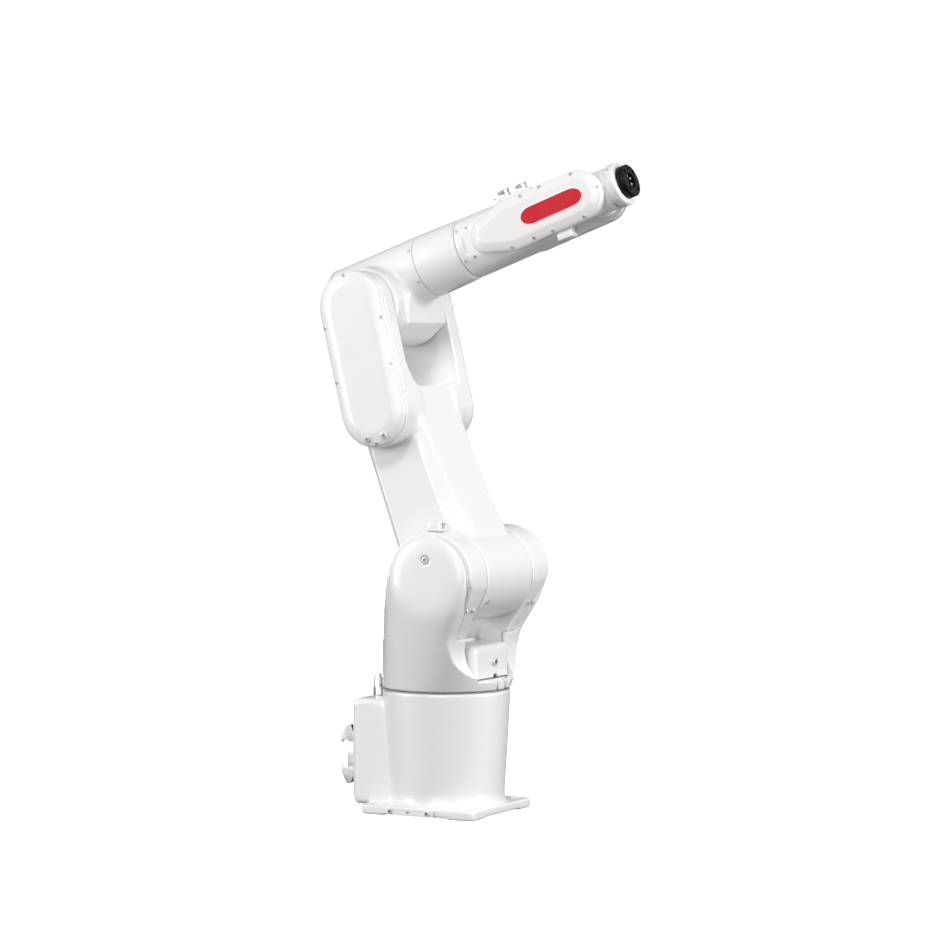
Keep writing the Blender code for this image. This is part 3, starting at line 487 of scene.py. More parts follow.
def base():
    low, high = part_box("base_housing")
    half_x, half_y = high.x, high.y
    top = high.z
    corners = [(sx * (half_x - 0.012), sy * (half_y - 0.012)) for sx in (-1, 1) for sy in (-1, 1)]
    body = thing(
        "base_casting",
        hull(
            *[
                ring("Z", z, r, c, 48)
                for z, r in ((0, 0.0112), (0.0008, 0.012), (0.0138, 0.012), (0.015, 0.0108))
                for c in corners
            ]
        )
    )
    tub = turned(
        (
            (0.1010, 0.011), (0.1005, 0.0155), (0.0975, 0.0185), (0.0955, 0.024), (0.0950, 0.034),
            (0.0985, 0.09), (0.1044, top - 0.002), (0.1043, top + 0.0008), (0.1036, top + 0.0018),
            (0.0995, top + 0.0022)
        ),
        192
    )
    box = block((low.x, -0.072, 0.0100), (-0.045, 0.072, 0.1840), 0.0095)
    join(body, tub, box)
    cut(body, rod("Z", 0.012, 0.3, 0.0885, n=192))
    cut(body, block((-0.2, -0.065, 0.020), (-0.050, 0.065, 0.177)))
    for sx in (-1, 1):
        for sy in (-1, 1):
            x, y = sx * 0.083, sy * 0.088
            cut(
                body, rod("Z", -0.01, 0.03, 0.0056, (x, y), n=48),
                rod("Z", 0.0085, 0.03, 0.0096, (x, y), n=48)
            )
    for side in (-1, 1):
        cut(body, block((-0.060, side * 0.078, -0.01), (0.058, side * 0.12, 0.0022)))
        cut(body, block((side * 0.055, -0.060, -0.01), (side * 0.12, 0.060, 0.0022)))
    cast(body, 0.0016, 6)
    blend_near(body, 40, box_meets_tub)
    place(body, F0, "base", WHITE, stands_for=["base_housing"])
    seal = thing(
        "base_seam_ring",
        turned(
            ((0.0890, top - 0.006), (0.1030, top - 0.006), (0.1030, top + 0.0036), (0.0890, top + 0.0036)),
            144
        )
    )
    cut(seal, rod("Z", 0.1, 0.3, 0.0893, n=144))
    place(seal, F0, "base", SEAL)
    crisp(seal)
    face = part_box("base_side_plate")[0].y
    screws(
        "base_side_plate_screws", [((x, face, 0.0085), (0, -1, 0), 0.0042) for x in (-0.046, 0.022)], F0,
        "base"
    )
    pin = [((-0.013, face, 0.0085), (0, -1, 0), 0.0024)]
    screws("base_side_plate_pin", pin, F0, "base", hexagon=False)
    rear_details()


def rear_details():
    low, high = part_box("rear_panel")
    x = low.x
    places = [
        ((x, y, z), (-1, 0, 0), 0.0033)
        for y in (low.y + 0.007, high.y - 0.007)
        for z in (low.z + 0.007, (low.z + high.z) / 2, high.z - 0.007)
    ]
    screws("rear_panel_screws", places, F0, "base")
    flange_low, flange_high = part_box("connector_housing")
    places = [
        ((flange_high.x - 0.0050, y, z), (-1, 0, 0), 0.0020)
        for y in (flange_low.y + 0.0022, flange_high.y - 0.0022)
        for z in (flange_low.z + 0.0035, flange_high.z - 0.0035)
    ]
    screws("connector_flange_screws", places, F0, "base", height=0.0012)
    pads = []
    middle_y = (flange_low.y + flange_high.y) / 2
    for z, up in ((flange_high.z, 1), (flange_low.z, -1)):
        pads.append(
            block(
                (flange_high.x - 0.0190, middle_y - 0.019, z - up * 0.0075),
                (flange_high.x - 0.0056, middle_y + 0.019, z + up * 0.0012), 0.0016, 6
            )
        )
    pad = joined("connector_end_pads", pads)
    place(pad, F0, "base", DARK)
    lid = joined(
        "rear_service_plate", [block((x - 0.0016, 0.018, 0.052), (x + 0.0002, 0.052, 0.124), 0.0012, 6)]
    )
    place(lid, F0, "base", FACE_PLATE)
    places = [((x - 0.0016, y, z), (-1, 0, 0), 0.0026) for y in (0.023, 0.047) for z in (0.058, 0.118)]
    screws("rear_service_plate_screws", places, F0, "base", height=0.0012)


# ---- Shoulder column ------------------------------------------------------------------------

DOME = (
    (0.1360, 0.0755), (0.1385, 0.0750), (0.1410, 0.0737), (0.1435, 0.0713), (0.1457, 0.0677),
    (0.1475, 0.0627), (0.1489, 0.0563), (0.1498, 0.0485), (0.1503, 0.0390), (0.1505, 0.0280)
)
EAR_IN = 0.0785
EAR_R = 0.0755
COLUMN_R = 0.1045
NECK_TOP = 0.300
NOTCH_TOP = 0.372
NOTCH_FLOOR = 0.2195
DOME_SCREW_AT = (0.042, 0.419)


def column_form():
    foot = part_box("shoulder_casting")[0].z
    rings = [ring("Z", z, COLUMN_R, n=192) for z in (foot, NECK_TOP)]
    for side in (-1, 1):
        rings.append(ring("Y", side * EAR_IN, EAR_R, SHOULDER_AT))
        rings += [ring("Y", side * y, r, SHOULDER_AT) for y, r in DOME]
    return hull(*rings)


def column_core(name, grow):
    core = thing(name, rod("Z", 0.1, NECK_TOP, 0.096 + grow, n=192))
    half = ((0.290, 0.101), (SHOULDER.z, 0.136), (0.6, 0.136))
    return join(
        core, hull([(x, side * (y + grow), z) for z, y in half for x in (-0.2, 0.2) for side in (-1, 1)])
    )


def notch():
    ear = [(0.1160, NOTCH_TOP), (0.1095, 0.356), (0.1000, 0.338), (0.0865, 0.313), (0.0775, 0.297)]
    neck = [(0.0728, 0.281), (0.0712, 0.267), (0.0732, 0.253), (0.0795, 0.240), (0.0890, 0.229)]
    sweep = [(0.1000, 0.2215), (0.1060, NOTCH_FLOOR)]
    outline = [(0.3, NOTCH_TOP), *smooth_path([*ear, *neck, *sweep]), (0.3, NOTCH_FLOOR)]
    return prism(outline, -0.25, 0.25)


def wedge(levels, start):
    """A room that narrows downwards, from x = start forwards."""
    return hull([(x, side * y, z) for z, y in levels for x in (start, 0.3) for side in (-1, 1)])


def bay():
    """The room in front for the motor cover."""
    return wedge(((0.291, 0.0691), (NOTCH_FLOOR, 0.0625)), 0.0196)


def fork_room():
    return wedge(((0.6, EAR_IN), (0.322, EAR_IN), (0.279, 0.0645)), -0.3)


def notch_corner(p):
    """The ear's front edge where the notch begins."""
    return near(p[:, 2], 0.368, 0.020, 1.6) * (p[:, 0] > 0.085) * (np.abs(p[:, 1]) > 0.082)


def dome_side(p):
    """The outer side of an ear, except round its screw."""
    from_screw = np.hypot(p[:, 0] - DOME_SCREW_AT[0], p[:, 2] - DOME_SCREW_AT[1])
    return (np.abs(p[:, 1]) - 0.118) / 0.012 * (from_screw > 0.0120)


def shoulder():
    casting = thing("shoulder_body", column_form())
    boolean(casting, column_core("casting_region", 0), "INTERSECT")
    cut(casting, notch(), fork_room(), bay())
    cut(casting, rod("Y", -0.2, 0.2, 0.0580, SHOULDER_AT))
    cast(casting, 0.0017, 5)
    blend_near(casting, 60, lambda p: notch_corner(p) * (np.abs(p[:, 1]) < 0.132))
    place(casting, F0, "column", WHITE, stands_for=["shoulder_casting"])
    region = column_core("cover_region", 0.0004)
    for side, name in ((-1, "right"), (1, "left")):
        cover = thing(f"shoulder_shell_{name}", column_form())
        tool = region.copy()
        tool.data = region.data.copy()
        bpy.context.scene.collection.objects.link(tool)
        cut(cover, tool, notch())
        cut(
            cover, block((0, side * 0.018, 0), (0.3, -side * 0.3, 0.6)),
            block((-0.3, side * 0.0004, 0), (0.001, -side * 0.3, 0.6))
        )
        cut(
            cover, bay(), fork_room(),
            hull(*[ring("Y", side * y, r, SHOULDER_AT) for y, r in ((0.10, 0.066), (0.1440, 0.054))])
        )
        cut(cover, rod("Y", side * 0.1445, side * 0.2, 0.0075, DOME_SCREW_AT, n=48))
        cast(cover, 0.0017, 5)
        blend_near(cover, 160, dome_side)
        blend_near(cover, 60, notch_corner)
        place(cover, F0, "column", WHITE, stands_for=[f"shoulder_cover_{name}"])
    bpy.data.objects.remove(region)
    shoulder_details()


def shoulder_details():
    x, z = DOME_SCREW_AT
    places = [((x, side * 0.1455, z), (0, side, 0), 0.0062) for side in (-1, 1)]
    screws("shoulder_dome_screws", places, F0, "column", height=0.0040)
    for name in ("shoulder_cover_screw_right", "shoulder_cover_screw_left"):
        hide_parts(name)
    edge = []
    for side in (-1, 1):
        edge.append(((0.0985, side * 0.1120, 0.338), (0.93, side * 0.1, 0.25), 0.0042))
        edge.append(((0.1010, side * 0.0960, 0.338), (0.93, 0, 0.25), 0.0040))
    screws("shoulder_edge_screws", edge, F0, "column")
    low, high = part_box("j1_motor_cover")
    low.y, high.y, high.x = -0.0600, 0.0620, high.x + 0.0040
    corners = [(x, y) for x in (low.x + 0.012, high.x - 0.012) for y in (low.y + 0.012, high.y - 0.012)]
    rounds = [
        (low.z - 0.0004, 0.012), (high.z - 0.012, 0.012), (high.z - 0.0074, 0.0111),
        (high.z - 0.0035, 0.0085), (high.z - 0.0009, 0.0046), (high.z, 0.0005)
    ]
    cover = thing("motor_cover", hull(*[ring("Z", z, r, c, 40) for z, r in rounds for c in corners]))
    cut(cover, block((low.x - 0.01, low.y + 0.006, 0.1), (high.x - 0.006, high.y - 0.006, high.z - 0.006)))
    cut(cover, block((high.x - 0.006, 0.0060, low.z - 0.004), (high.x + 0.01, 0.0200, low.z + 0.0050)))
    cast(cover, 0.0012, 5)
    place(cover, F0, "column", WHITE, stands_for=["j1_motor_cover"])
    centre_low, centre_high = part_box("j1_motor_cover_screw")
    centre = (centre_low + centre_high) / 2
    bolt = screws(
        "motor_cover_bolt", [((high.x, centre.y, centre.z), (1, 0, 0), 0.0068)], F0, "column", height=0.0042
    )
    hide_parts("j1_motor_cover_screw")
    low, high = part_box("j2_zero_mark_block")
    middle = (low.y + high.y) / 2
    mark = thing(
        "zero_mark_lug", block((low.x + 0.002, low.y, low.z), (high.x, high.y, high.z + 0.0060), 0.0026, 6)
    )
    join(
        mark,
        block(
            (low.x - 0.010, low.y + 0.004, low.z - 0.003), (low.x + 0.006, high.y - 0.004, low.z + 0.0062),
            0.0020, 5
        )
    )
    cut(
        mark,
        block(
            (high.x - 0.0060, low.y + 0.0045, low.z + 0.0035),
            (high.x + 0.01, high.y - 0.0045, high.z + 0.0030), 0.0015, 5
        )
    )
    place(mark, F0, "column", WHITE, stands_for=["j2_zero_mark_block"])
    crisp(mark)
    screws("zero_mark_screw", [((low.x - 0.004, middle, low.z + 0.0056), (0, 0, 1), 0.0028)], F0, "column")


# ---- Lower arm ------------------------------------------------------------------------------

SECTIONS = (
    (0.000, 0.0600, 0.0560, 0.0340),
    (0.054, 0.0605, 0.0560, 0.0330),
    (0.085, 0.0535, 0.0580, 0.0285),
    (0.120, 0.0475, 0.0600, 0.0245),
    (0.165, 0.0425, 0.0620, 0.0215),
    (0.210, 0.0385, 0.0655, 0.0190),
    (0.250, 0.0375, 0.0700, 0.0200),
    (0.300, 0.0390, 0.0740, 0.0240),
    (0.330, 0.0405, 0.0750, 0.0260),
)
PAD_R = 0.0595
ENDS = ((0.0, ARM_LENGTH), (-0.0174, 0.2894))


def beam():
    rows = []
    for z, front, half_front, start in smooth_path(SECTIONS, 5):
        half, rear = 0.0770, -0.0750
        profile = [(front, half_front), (start, half), (rear + 0.009, half), (rear, half - 0.009)]
        rows.append([(x, y, z) for x, y in profile + [(x, -y) for x, y in reversed(profile)]])
    return loft(rows)


def beam_root(p):
    return near(p[:, 2], 0.070, 0.035) * (p[:, 0] > 0.03) * (np.abs(p[:, 1]) < 0.070)


def pad_root(p):
    """The ring where a cover's pad rises from the beam."""
    from_axis = np.hypot(p[:, 0] - ENDS[1][0], p[:, 2] - ENDS[1][1])
    return near(from_axis, 0.062, 0.012, 1.4) * within(np.abs(p[:, 1]), 0.066, 0.098) * (p[:, 2] <= 0.31)


def fork_foot(p):
    return near(p[:, 2], 0.262, 0.032, 1.5) * (p[:, 0] > 0.004) * within(np.abs(p[:, 1]), 0.058, 0.104)


def lower_arm():
    arm = thing("lower_arm_body", rod("Y", -0.0775, 0.0775, 0.0755, n=192))
    join(arm, beam())
    for side in (-1, 1):
        pad = [(side * 0.055, PAD_R), (side * 0.112, PAD_R), (side * 0.113, PAD_R - 0.0008)]
        join(arm, hull(*capsule(pad, ENDS)))
    levels = (
        (0.312, -0.058, 0.074), (0.316, -0.064, 0.078), (0.324, -0.071, 0.080), (0.350, -0.083, 0.083),
        (0.6, -0.083, 0.083)
    )
    cut(arm, hull([(x, y, z) for z, right, left in levels for y in (right, left) for x in (-0.2, 0.2)]))
    shroud = ((-0.075, 0.0340), (0.0270, 0.0340), (0.0285, 0.0325))
    join(arm, hull(*[ring("Y", y, r, ENDS[1], 96) for y, r in shroud]))
    cut(arm, hull(*capsule([(-0.2, 0.046), (-0.096, 0.046)], ENDS, 96)))
    cut(arm, rod("Y", 0.06, 0.15, 0.0385, ENDS[0]), rod("Y", -0.15, -0.06, 0.0385, ENDS[0]))
    cast(arm, 0.0017, 6)
    blend_near(arm, 45, beam_root)
    blend_near(arm, 30, pad_root)
    blend_near(arm, 60, fork_foot)
    place(arm, F2, "lower_arm", WHITE, stands_for=["lower_arm_casting"])
    for side, name, face_y in ((-1, "right", 0.128), (1, "left", 0.121)):
        elbow_cover(side, name, face_y)
    turn = math.radians(-50)
    out = (math.cos(turn), 0, math.sin(turn))
    screws(
        "hub_plug_screw", [((0.0754 * out[0], -0.0600, 0.0754 * out[2]), out, 0.0046)], F2, "lower_arm",
        height=0.0016
    )
    gaskets = [[(side * y, PAD_R - 0.0016) for y in (0.1126, 0.1140)] for side in (-1, 1)]
    seam = joined("elbow_cover_gaskets", [hull(*capsule(gasket, ENDS)) for gasket in gaskets])
    place(seam, F2, "lower_arm", SEAL)
    crisp(seam)


COVER_FOOT_Y = 0.1134
COVER_EDGE = ((0.28, 0.0004), (0.52, 0.0030), (0.70, 0.0080), (0.84, 0.0140), (0.94, 0.0195))


def elbow_cover(side, name, face_y):
    rise = face_y - COVER_FOOT_Y
    profile = [(COVER_FOOT_Y, PAD_R - 0.0004)]
    profile += [(COVER_FOOT_Y + rise * share, PAD_R - inset) for share, inset in COVER_EDGE]
    profile += [(face_y - 0.0004, PAD_R - 0.0218), (face_y, PAD_R - 0.0235)]
    cover = thing(f"elbow_shell_{name}", hull(*capsule([(side * y, r) for y, r in profile], ENDS)))
    hollow = [
        (side * 0.10, 0.049), (side * (COVER_FOOT_Y + rise * 0.3), 0.049), (side * (face_y - 0.0035), 0.036)
    ]
    cut(cover, hull(*capsule(hollow, ENDS, 72)))
    cast(cover, 0.0014, 5)
    nodes = [f"elbow_cover_{name}"] + (["elbow_cover_screw"] if side < 0 else [])
    place(cover, F2, "lower_arm", WHITE, stands_for=nodes)
    rim = (
        (0.0533, 0.4257), (0.0427, 0.3501), (-0.0591, 0.4430), (-0.0707, 0.3529), (0.0060, 0.5150),
        (-0.0267, 0.2340)
    )
    places = []
    for x, z in rim:
        along = min(max((z - ENDS[1][1]) / (ENDS[0][1] - ENDS[1][1]), 0), 1)
        spine = Vector(ENDS[1]).lerp(Vector(ENDS[0]), along)
        out = (Vector((x, z)) - spine).normalized()
        point = spine + out * (PAD_R - 0.0068)
        normal = (out.x * 0.7, side * 0.7, out.y * 0.7)
        places.append(((point.x, side * (face_y - rise * 0.35), point.y), normal, 0.0031))
    screws(f"elbow_cover_screws_{name}", places, F2, "lower_arm", height=0.0014)
    plug_y = side * (face_y - rise * 0.13)
    plug_centres = ((-0.0387, 0.2484), (-0.0074, 0.2447))
    plugs = [((x, plug_y, z), (0.15 * x, side, -0.22), 0.0056) for x, z in plug_centres]
    screws(f"elbow_cover_plugs_{name}", plugs, F2, "lower_arm", height=0.0022)


# ---- Elbow ----------------------------------------------------------------------------------


HUB_R = 0.0640
SLEEVE = (
    (0.0986, 0.0519), (0.0992, 0.0526), (0.1010, 0.0528), (0.160, 0.0513),
    (0.1715, 0.0509), (0.1742, 0.0500), (0.1764, 0.0480),
)


def elbow():
    at = (0.0, RISE)
    drum = ((-0.0805, 0.0615), (-0.0790, 0.0632), (-0.0765, HUB_R), (0.0780, HUB_R), (0.0805, 0.0615))
    hub = thing("elbow_body", hull(*[ring("Y", y, r) for y, r in drum]))
    front = ((0.0545, -0.0475), (0.0720, 0.0020))
    body = [ring("Y", y, HUB_R) for y in (-0.050, 0.0775)]
    body += [[(x, y, z) for x, z in front] for y in (-0.050, 0.0775)]
    join(hub, hull(*body), rod("X", -0.0642, 0.098, 0.0530, at, n=192))
    cut(hub, rod("X", -0.2, 0.2, 0.0440, at))
    cut(hub, rod("Y", -0.2, -0.058, 0.0200, n=64), rod("Y", 0.058, 0.2, 0.0200, n=64))
    cast(hub, 0.0015, 5)

    def fillet(p):
        tube = np.hypot(p[:, 1], p[:, 2] - RISE)
        outside = (tube > 0.049) & (np.abs(p[:, 1]) < 0.079) & (p[:, 0] < 0.090) & (p[:, 0] > -0.060)
        hub_edge = np.abs(np.hypot(p[:, 0], p[:, 2]) - 0.066)
        return outside * (1.25 - np.minimum(np.abs(tube - 0.0535) / 0.016, 1.25) * 1.0) * (hub_edge < 0.05)

    blend_near(hub, 130, fillet)
    place(hub, F3, "elbow", WHITE, stands_for=["elbow_casting"])
    back = [
        (-0.0646, 0.0528), (-0.0680, 0.0524), (-0.0705, 0.0510), (-0.0728, 0.0485), (-0.0745, 0.0445),
        (-0.0754, 0.0390), (-0.0758, 0.0300)
    ]
    cap = thing("elbow_end_cap", hull(*[ring("X", x, r, at) for x, r in back]))
    place(cap, F3, "elbow", WHITE, stands_for=["elbow_rear_cover"])
    crisp(cap, 50)
    sleeve = thing("roll_housing", loft([ring("X", x, r, at) for x, r in SLEEVE]))
    cut(sleeve, rod("X", 0.0, 0.3, 0.0425, at))
    place(sleeve, F3, "elbow", WHITE, stands_for=["j4_housing"])
    crisp(sleeve, 45)
    rings = [
        rod("X", 0.0974, 0.0992, 0.0518, at), rod("X", 0.1750, 0.1790, 0.0478, at),
        rod("X", -0.0652, -0.0636, 0.0518, at)
    ]
    seams = joined("elbow_seam_rings", rings)
    place(seams, F3, "elbow", SEAL)
    crisp(seams)
    places = [tube_screw(0.0925, turn, 0.0529, 0.0028) for turn in (-150, -90, -30, 30, 90, 150)]
    screws("elbow_tube_screws", places, F3, "elbow", height=0.0012)
    cap_places = []
    for turn in (45, 135, 225, 315):
        y, z = math.cos(math.radians(turn)), math.sin(math.radians(turn))
        cap_places.append(((-0.0735, 0.043 * y, RISE + 0.043 * z), (-1, 0.3 * y, 0.3 * z), 0.0032))
    screws("elbow_end_cap_screws", cap_places, F3, "elbow", height=0.0014)


def tube_screw(x, turn, radius, size, rise=None):
    angle = math.radians(turn)
    out = (0, math.cos(angle), math.sin(angle))
    z = RISE if rise is None else rise
    return (x, out[1] * radius, z + out[2] * radius), out, size


# ---- Forearm --------------------------------------------------------------------------------


def forearm():
    end = (REACH, 0)
    rings = [
        ring("X", 0.1774, 0.0484), ring("X", 0.1790, 0.0496), ring("X", 0.1812, 0.0500),
        ring("X", 0.189, 0.0500)
    ]
    rings += [
        ring("Y", side * y, r, end) for side in (-1, 1) for y, r in ((0.0440, 0.0400), (0.0460, 0.0385))
    ]
    body = thing("forearm_body", hull(*rings))
    for side in (-1, 1):
        cut(body, block((0.192, side * 0.046, -0.1), (0.6, side * 0.1, 0.1)))
    cut(body, block((0.350, -0.0365, -0.1), (0.6, 0.0365, 0.1)))
    cut(body, block((0.244, -0.1, -0.022), (0.335, 0.1, 0.022)))
    cut(body, rod("Y", -0.1, 0.1, 0.0125, end, n=48))
    cast(body, 0.0014, 5)
    place(body, F4, "forearm", WHITE, stands_for=["forearm_casting"])
    for side, name in ((-1, "right"), (1, "left")):
        forearm_cover(side, name)
    forearm_details()


def forearm_cover(side, name):
    y0 = 0.0464
    face_y = 0.0575
    rings = []
    steps = (
        (y0, 0.0), (y0 + 0.0024, 0.0), (y0 + 0.0042, 0.0014), (y0 + 0.0066, 0.0048), (y0 + 0.0088, 0.0100),
        (face_y - 0.0006, 0.0140), (face_y, 0.0156)
    )
    for y, inset in steps:
        rings.append(ring("Y", side * y, 0.0410 - inset, (REACH, 0)))
        rings.append(ring("Y", side * y, 0.0425 - inset, (0.285, 0)))
        rings.append(ring("Y", side * y, 0.0275 - inset * 0.85, (0.2345 + inset * 0.3, 0)))
    cover = thing(f"forearm_shell_{name}", hull(*rings))
    inner = [
        ring("Y", side * y, r, (x, 0), 64)
        for y, r in ((0.030, 0.034), (face_y - 0.0035, 0.022))
        for x in (0.290, REACH)
    ]
    cut(cover, hull(*inner))
    cast(cover, 0.0012, 4)
    place(cover, F4, "forearm", WHITE, stands_for=[f"forearm_cover_{name}"])
    rim = (
        (0.4124, 0.0359), (0.3527, 0.0372), (0.3171, 0.0352), (0.4476, 0.0018), (0.4122, -0.0350),
        (0.3523, -0.0366), (0.3180, -0.0352), (0.2760, -0.0352)
    )
    places = []
    for x, z in rim:
        edge = 0.0410 + 0.0015 * (REACH - x) / (REACH - 0.285) if x < REACH else 0.0410
        inset = edge - (abs(z) if x < REACH else math.hypot(x - REACH, z))
        y = np.interp(inset, [i for _, i in steps[1:]], [at for at, _ in steps[1:]])
        normal = (0.6 * (x > 0.44), side, 0.6 * np.sign(z) * (abs(z) > 0.01))
        places.append(((x, side * (y + 0.0002), z), normal, 0.0031))
    for z in (0.0240, -0.0240):
        y = side * math.sqrt(0.0499**2 - z**2)
        places.append(((0.2035, y, z), (0, y, z), 0.0030))
    screws(f"forearm_cover_screws_{name}", places, F4, "forearm", height=0.0014)
    badge(side, name, face_y)


def long_pill(steps):
    """Rings for a pill whose ends are half ellipses."""
    ends = ((0.3290, -0.0005), (0.4010, 0.0005))
    rows = []
    for y, r in steps:
        for x, z in ends:
            rows.append([(x + 1.55 * (px - x), py, pz) for px, py, pz in ring("Y", y, r, (x, z), 96)])
    return rows


def badge(side, name, face_y):
    """A plain enamelled pill on the cover's flat face."""
    rim_steps = ((face_y - 0.0004, 0.0148), (face_y + 0.0007, 0.0148), (face_y + 0.0010, 0.0144))
    rim = thing(f"badge_rim_{name}", hull(*long_pill([(side * y, r) for y, r in rim_steps])))
    place(rim, F4, "forearm", BADGE_RIM)
    crisp(rim, 20)
    pill_steps = ((face_y + 0.0002, 0.0136), (face_y + 0.0013, 0.0136), (face_y + 0.0016, 0.0132))
    pill = thing(f"badge_{name}", hull(*long_pill([(side * y, r) for y, r in pill_steps])))
    place(pill, F4, "forearm", RED)
    crisp(pill, 20)


def air_fittings():
    """Push-in elbows on the two ports, and the lug beside them."""
    fittings = []
    for x, y in ((0.274, -0.006), (0.304, 0.0)):
        fittings.append(
            turned(
                ((0.0034, 0.0592), (0.0044, 0.0596), (0.0044, 0.0640), (0.0040, 0.0662), (0.0020, 0.0672)),
                32
            )
        )
        bmesh.ops.translate(fittings[-1], verts=fittings[-1].verts, vec=(x, y, 0))
        barrel = [
            ring("X", x - at, r, (y, 0.0628), 32)
            for at, r in (
                (0.001, 0.0030), (0.010, 0.0034), (0.0104, 0.0028), (0.0150, 0.0028), (0.0156, 0.0022)
            )
        ]
        fittings.append(loft(barrel))
    obj = joined("air_elbows", fittings)
    place(obj, F4, "forearm", NICKEL)
    crisp(obj)
    lug = thing("air_line_lug", block((0.2370, -0.0130, 0.0455), (0.2600, 0.0130, 0.0550), 0.0018, 6))
    join(lug, block((0.2400, -0.0050, 0.0500), (0.2470, 0.0070, 0.0600), 0.0014, 6))
    place(lug, F4, "forearm", WHITE)
    crisp(lug)
    screws(
        "air_line_lug_screws", [((0.2545, y, 0.0548), (0, 0, 1), 0.0024) for y in (-0.007, 0.007)], F4,
        "forearm", height=0.0012
    )


def forearm_details():
    air_fittings()
    top = 0.0530
    rest = []
    for x, y in ((0.269, -0.010), (0.269, 0.010), (0.311, -0.010), (0.311, 0.010)):
        rest.append(((x, y, top - 0.0004), (0, 0, 1), 0.0026))
    screws("air_port_screws", rest, F4, "forearm", height=0.0012)
    places = [tube_screw(0.1850, turn, 0.0499, 0.0027, 0.0) for turn in (-150, -90, -30, 30, 90, 150)]
    screws("forearm_flange_screws", places, F4, "forearm", height=0.0010)


# ---- Wrist and flange -----------------------------------------------------------------------


def wrist():
    body = thing("wrist_body", rod("Y", -0.0358, 0.0358, 0.0340, n=144))
    join(
        body,
        hull(
            *[
                ring("X", x, r)
                for x, r in ((0.004, 0.0340), (0.034, 0.0340), (0.0385, 0.0330), (0.0416, 0.0305))
            ]
        )
    )
    cut(body, rod("X", 0.006, 0.08, 0.0240, n=96))
    cast(body, 0.0011, 4)
    place(body, F5, "wrist", WHITE, stands_for=["wrist_housing"])
    collar = thing(
        "wrist_collar",
        loft(
            [
                ring("X", x, r)
                for x, r in (
                    (0.0420, 0.0335), (0.0432, 0.0352), (0.0445, 0.0356), (0.0560, 0.0356),
                    (0.0585, 0.0350), (0.0600, 0.0330)
                )
            ]
        )
    )
    cut(collar, rod("X", 0.0, 0.1, 0.0268))
    place(collar, F5, "wrist", WHITE, stands_for=["wrist_ring"])
    crisp(collar, 45)
    seam = thing("wrist_seam_ring", rod("X", 0.0400, 0.0440, 0.0300))
    cut(seam, rod("X", 0.0, 0.1, 0.0245))
    place(seam, F5, "wrist", SEAL)
    crisp(seam)
    places = [tube_screw(0.0500, turn, 0.0354, 0.0026, 0.0) for turn in (-135, -45, 45, 135)]
    screws("wrist_collar_screws", places, F5, "wrist", height=0.0010)
    flange()


def flange():
    low, high = 0.0604, 0.0735
    disc = thing(
        "flange_body",
        loft(
            [
                ring("X", x, r)
                for x, r in (
                    (0.0505, 0.0238), (low, 0.0238), (low, 0.0262), (low + 0.0006, 0.0265),
                    (0.0655, 0.0265), (0.0660, 0.0258), (0.0670, 0.0258), (0.0675, 0.0265),
                    (high - 0.0008, 0.0265), (high, 0.0257)
                )
            ]
        )
    )
    cut(disc, rod("X", high - 0.006, 0.1, 0.0125), rod("X", 0.04, 0.1, 0.0060, n=64))
    for i in range(4):
        angle = math.pi / 4 + i * math.pi / 2
        centre = (0.020 * math.cos(angle), 0.020 * math.sin(angle))
        cut(
            disc, rod("X", high - 0.009, 0.1, 0.0026, centre, n=32),
            rod("X", high - 0.0007, 0.1, 0.0034, centre, n=32)
        )
    cut(disc, rod("X", high - 0.006, 0.1, 0.0025, (0, 0.020), n=32))
    place(disc, F5, "tool_flange", BLACK, stands_for=["tool_flange"])
    crisp(disc)
    places = []
    for i in range(6):
        angle = math.pi / 6 + i * math.pi / 3
        places.append(
            ((high - 0.0060, 0.0092 * math.cos(angle), 0.0092 * math.sin(angle)), (1, 0, 0), 0.0018)
        )
    screws("flange_inner_screws", places, F5, "tool_flange", height=0.0014)


# ---- CAD nodes that stay, stage, camera and light --------------------------------------------


def dress_cad_nodes():
    slots = {s["node"]: s["material_slot"] for s in frame["record"]["subparts"]}
    special = {"connector_insert": INSERT, "connector_lever_upper": ZINC, "connector_lever_lower": ZINC}
    rounded = {
        "rear_panel": 0.0012, "connector_housing": 0.0007, "base_side_plate": 0.0008,
        "cable_bracket": 0.0010, "j1_stop_block": 0.0014, "air_port_block": 0.0012
    }
    for name, obj in NODES.items():
        material = special.get(name) or SLOT_MATERIALS[slots[name]]
        obj.data.materials.clear()
        obj.data.materials.append(material)
        weld = obj.modifiers.new("weld", "WELD")
        weld.merge_threshold = 1e-5
        if name in rounded or slots[name] in ("steel", "brass_nickel", "grey_zinc"):
            edge = obj.modifiers.new("edges", "BEVEL")
            edge.width = rounded.get(name, 0.0004)
            edge.segments = 3
            edge.limit_method = "ANGLE"
            edge.angle_limit = math.radians(38)
            edge.harden_normals = False
        obj.data.shade_smooth()
        obj.data.set_sharp_from_angle(angle=math.radians(35))


def area_light(name, location, target, size, energy, size_y=None):
    light = bpy.data.lights.new(name, "AREA")
    light.energy = energy
    light.size = size
    if size_y:
        light.shape = "RECTANGLE"
        light.size_y = size_y
    obj = bpy.data.objects.new(name, light)
    obj.location = location
    obj.rotation_euler = (Vector(target) - Vector(location)).to_track_quat("-Z", "Y").to_euler()
    bpy.context.scene.collection.objects.link(obj)
    return obj


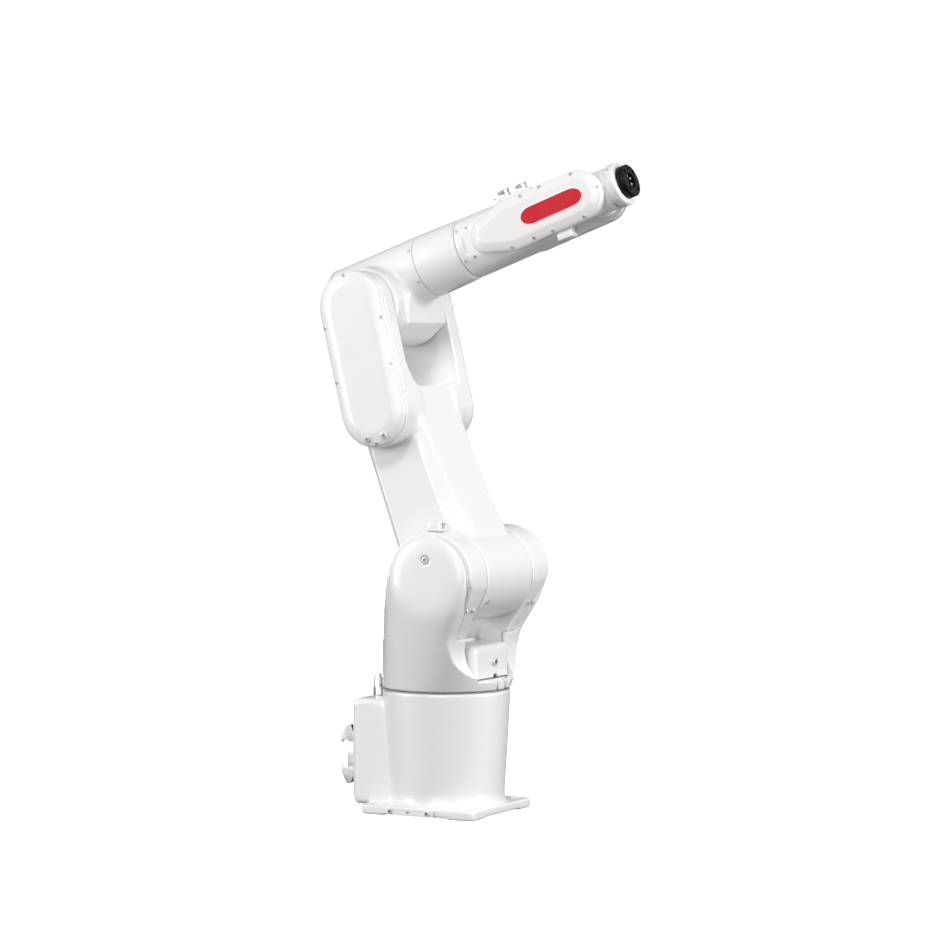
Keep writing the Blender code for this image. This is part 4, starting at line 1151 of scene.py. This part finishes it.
def studio():
    floor_mesh = bmesh.new()
    bmesh.ops.create_grid(floor_mesh, x_segments=1, y_segments=1, size=14)
    bmesh.ops.translate(floor_mesh, verts=floor_mesh.verts, vec=(0, 0, -0.0005))
    floor = thing("floor", floor_mesh)
    material, tree, shader = shader_of("pale_floor", (0.90, 0.90, 0.90), 0.0, 0.75)
    grain = ramp(tree, noise(tree, 3, 3), ((0.3, (0.885, 0.885, 0.885)), (0.7, (0.91, 0.91, 0.91))))
    tree.links.new(grain, shader.inputs["Base Color"])
    shader.inputs["Emission Color"].default_value = (1, 1, 1, 1)
    shader.inputs["Emission Strength"].default_value = 0.85
    floor.data.materials.append(material)
    floor.visible_diffuse = False
    floor.visible_glossy = False
    sky()
    area_light("left_card", (-2.9, -2.5, 1.0), (0.0, 0, 0.50), 1.2, 64, size_y=2.2)
    area_light("right_card", (3.2, 0.8, 1.25), (0.05, 0, 0.55), 0.9, 98, size_y=2.4)
    area_light("front_card", (1.1, -4.4, 1.0), (0.0, 0, 0.50), 2.6, 74)
    area_light("key_softbox", (0.75, -3.0, 3.2), (0.02, 0, 0.55), 0.8, 56)


def sky():
    """A dim room with a white backdrop all round it."""
    world = bpy.data.worlds.new("studio")
    bpy.context.scene.world = world
    world.use_nodes = True
    tree = world.node_tree
    room = tree.nodes["Background"]
    coords = tree.nodes.new("ShaderNodeTexCoord")
    axes = tree.nodes.new("ShaderNodeSeparateXYZ")
    tree.links.new(coords.outputs["Generated"], axes.inputs["Vector"])
    height = between(tree, axes.outputs["Z"], 0.10, 0.40, -0.35, 0.35)
    tree.links.new(height, room.inputs["Strength"])
    backdrop = tree.nodes.new("ShaderNodeBackground")
    backdrop.inputs["Strength"].default_value = 1.05
    rays = tree.nodes.new("ShaderNodeLightPath")
    seen = tree.nodes.new("ShaderNodeMixShader")
    tree.links.new(rays.outputs["Is Camera Ray"], seen.inputs["Fac"])
    tree.links.new(room.outputs["Background"], seen.inputs[1])
    tree.links.new(backdrop.outputs["Background"], seen.inputs[2])
    tree.links.new(seen.outputs["Shader"], tree.nodes["World Output"].inputs["Surface"])
    for background in (room, backdrop):
        background.inputs["Color"].default_value = (1, 1, 1, 1)


def camera():
    azimuth, pitch = math.radians(28.3), math.radians(2.4)
    back = Vector(
        (math.sin(azimuth) * math.cos(pitch), -math.cos(azimuth) * math.cos(pitch), math.sin(pitch))
    )
    right = Vector((math.cos(azimuth), math.sin(azimuth), 0))
    up = back.cross(right)
    data = bpy.data.cameras.new("camera")
    data.sensor_width = 36
    data.lens = 132.63
    data.clip_end = 60
    cam = bpy.data.objects.new("camera", data)
    distance = 5.7283
    location = -(right * -0.04631 + up * -0.54794) + back * distance
    turned_by = Matrix((right, up, back)).transposed().to_4x4()
    cam.matrix_world = Matrix.Translation(location) @ turned_by
    bpy.context.scene.collection.objects.link(cam)
    bpy.context.scene.camera = cam
    bpy.context.scene.view_settings.view_transform = "Standard"


base()
shoulder()
lower_arm()
elbow()
forearm()
wrist()
dress_cad_nodes()
studio()
camera()
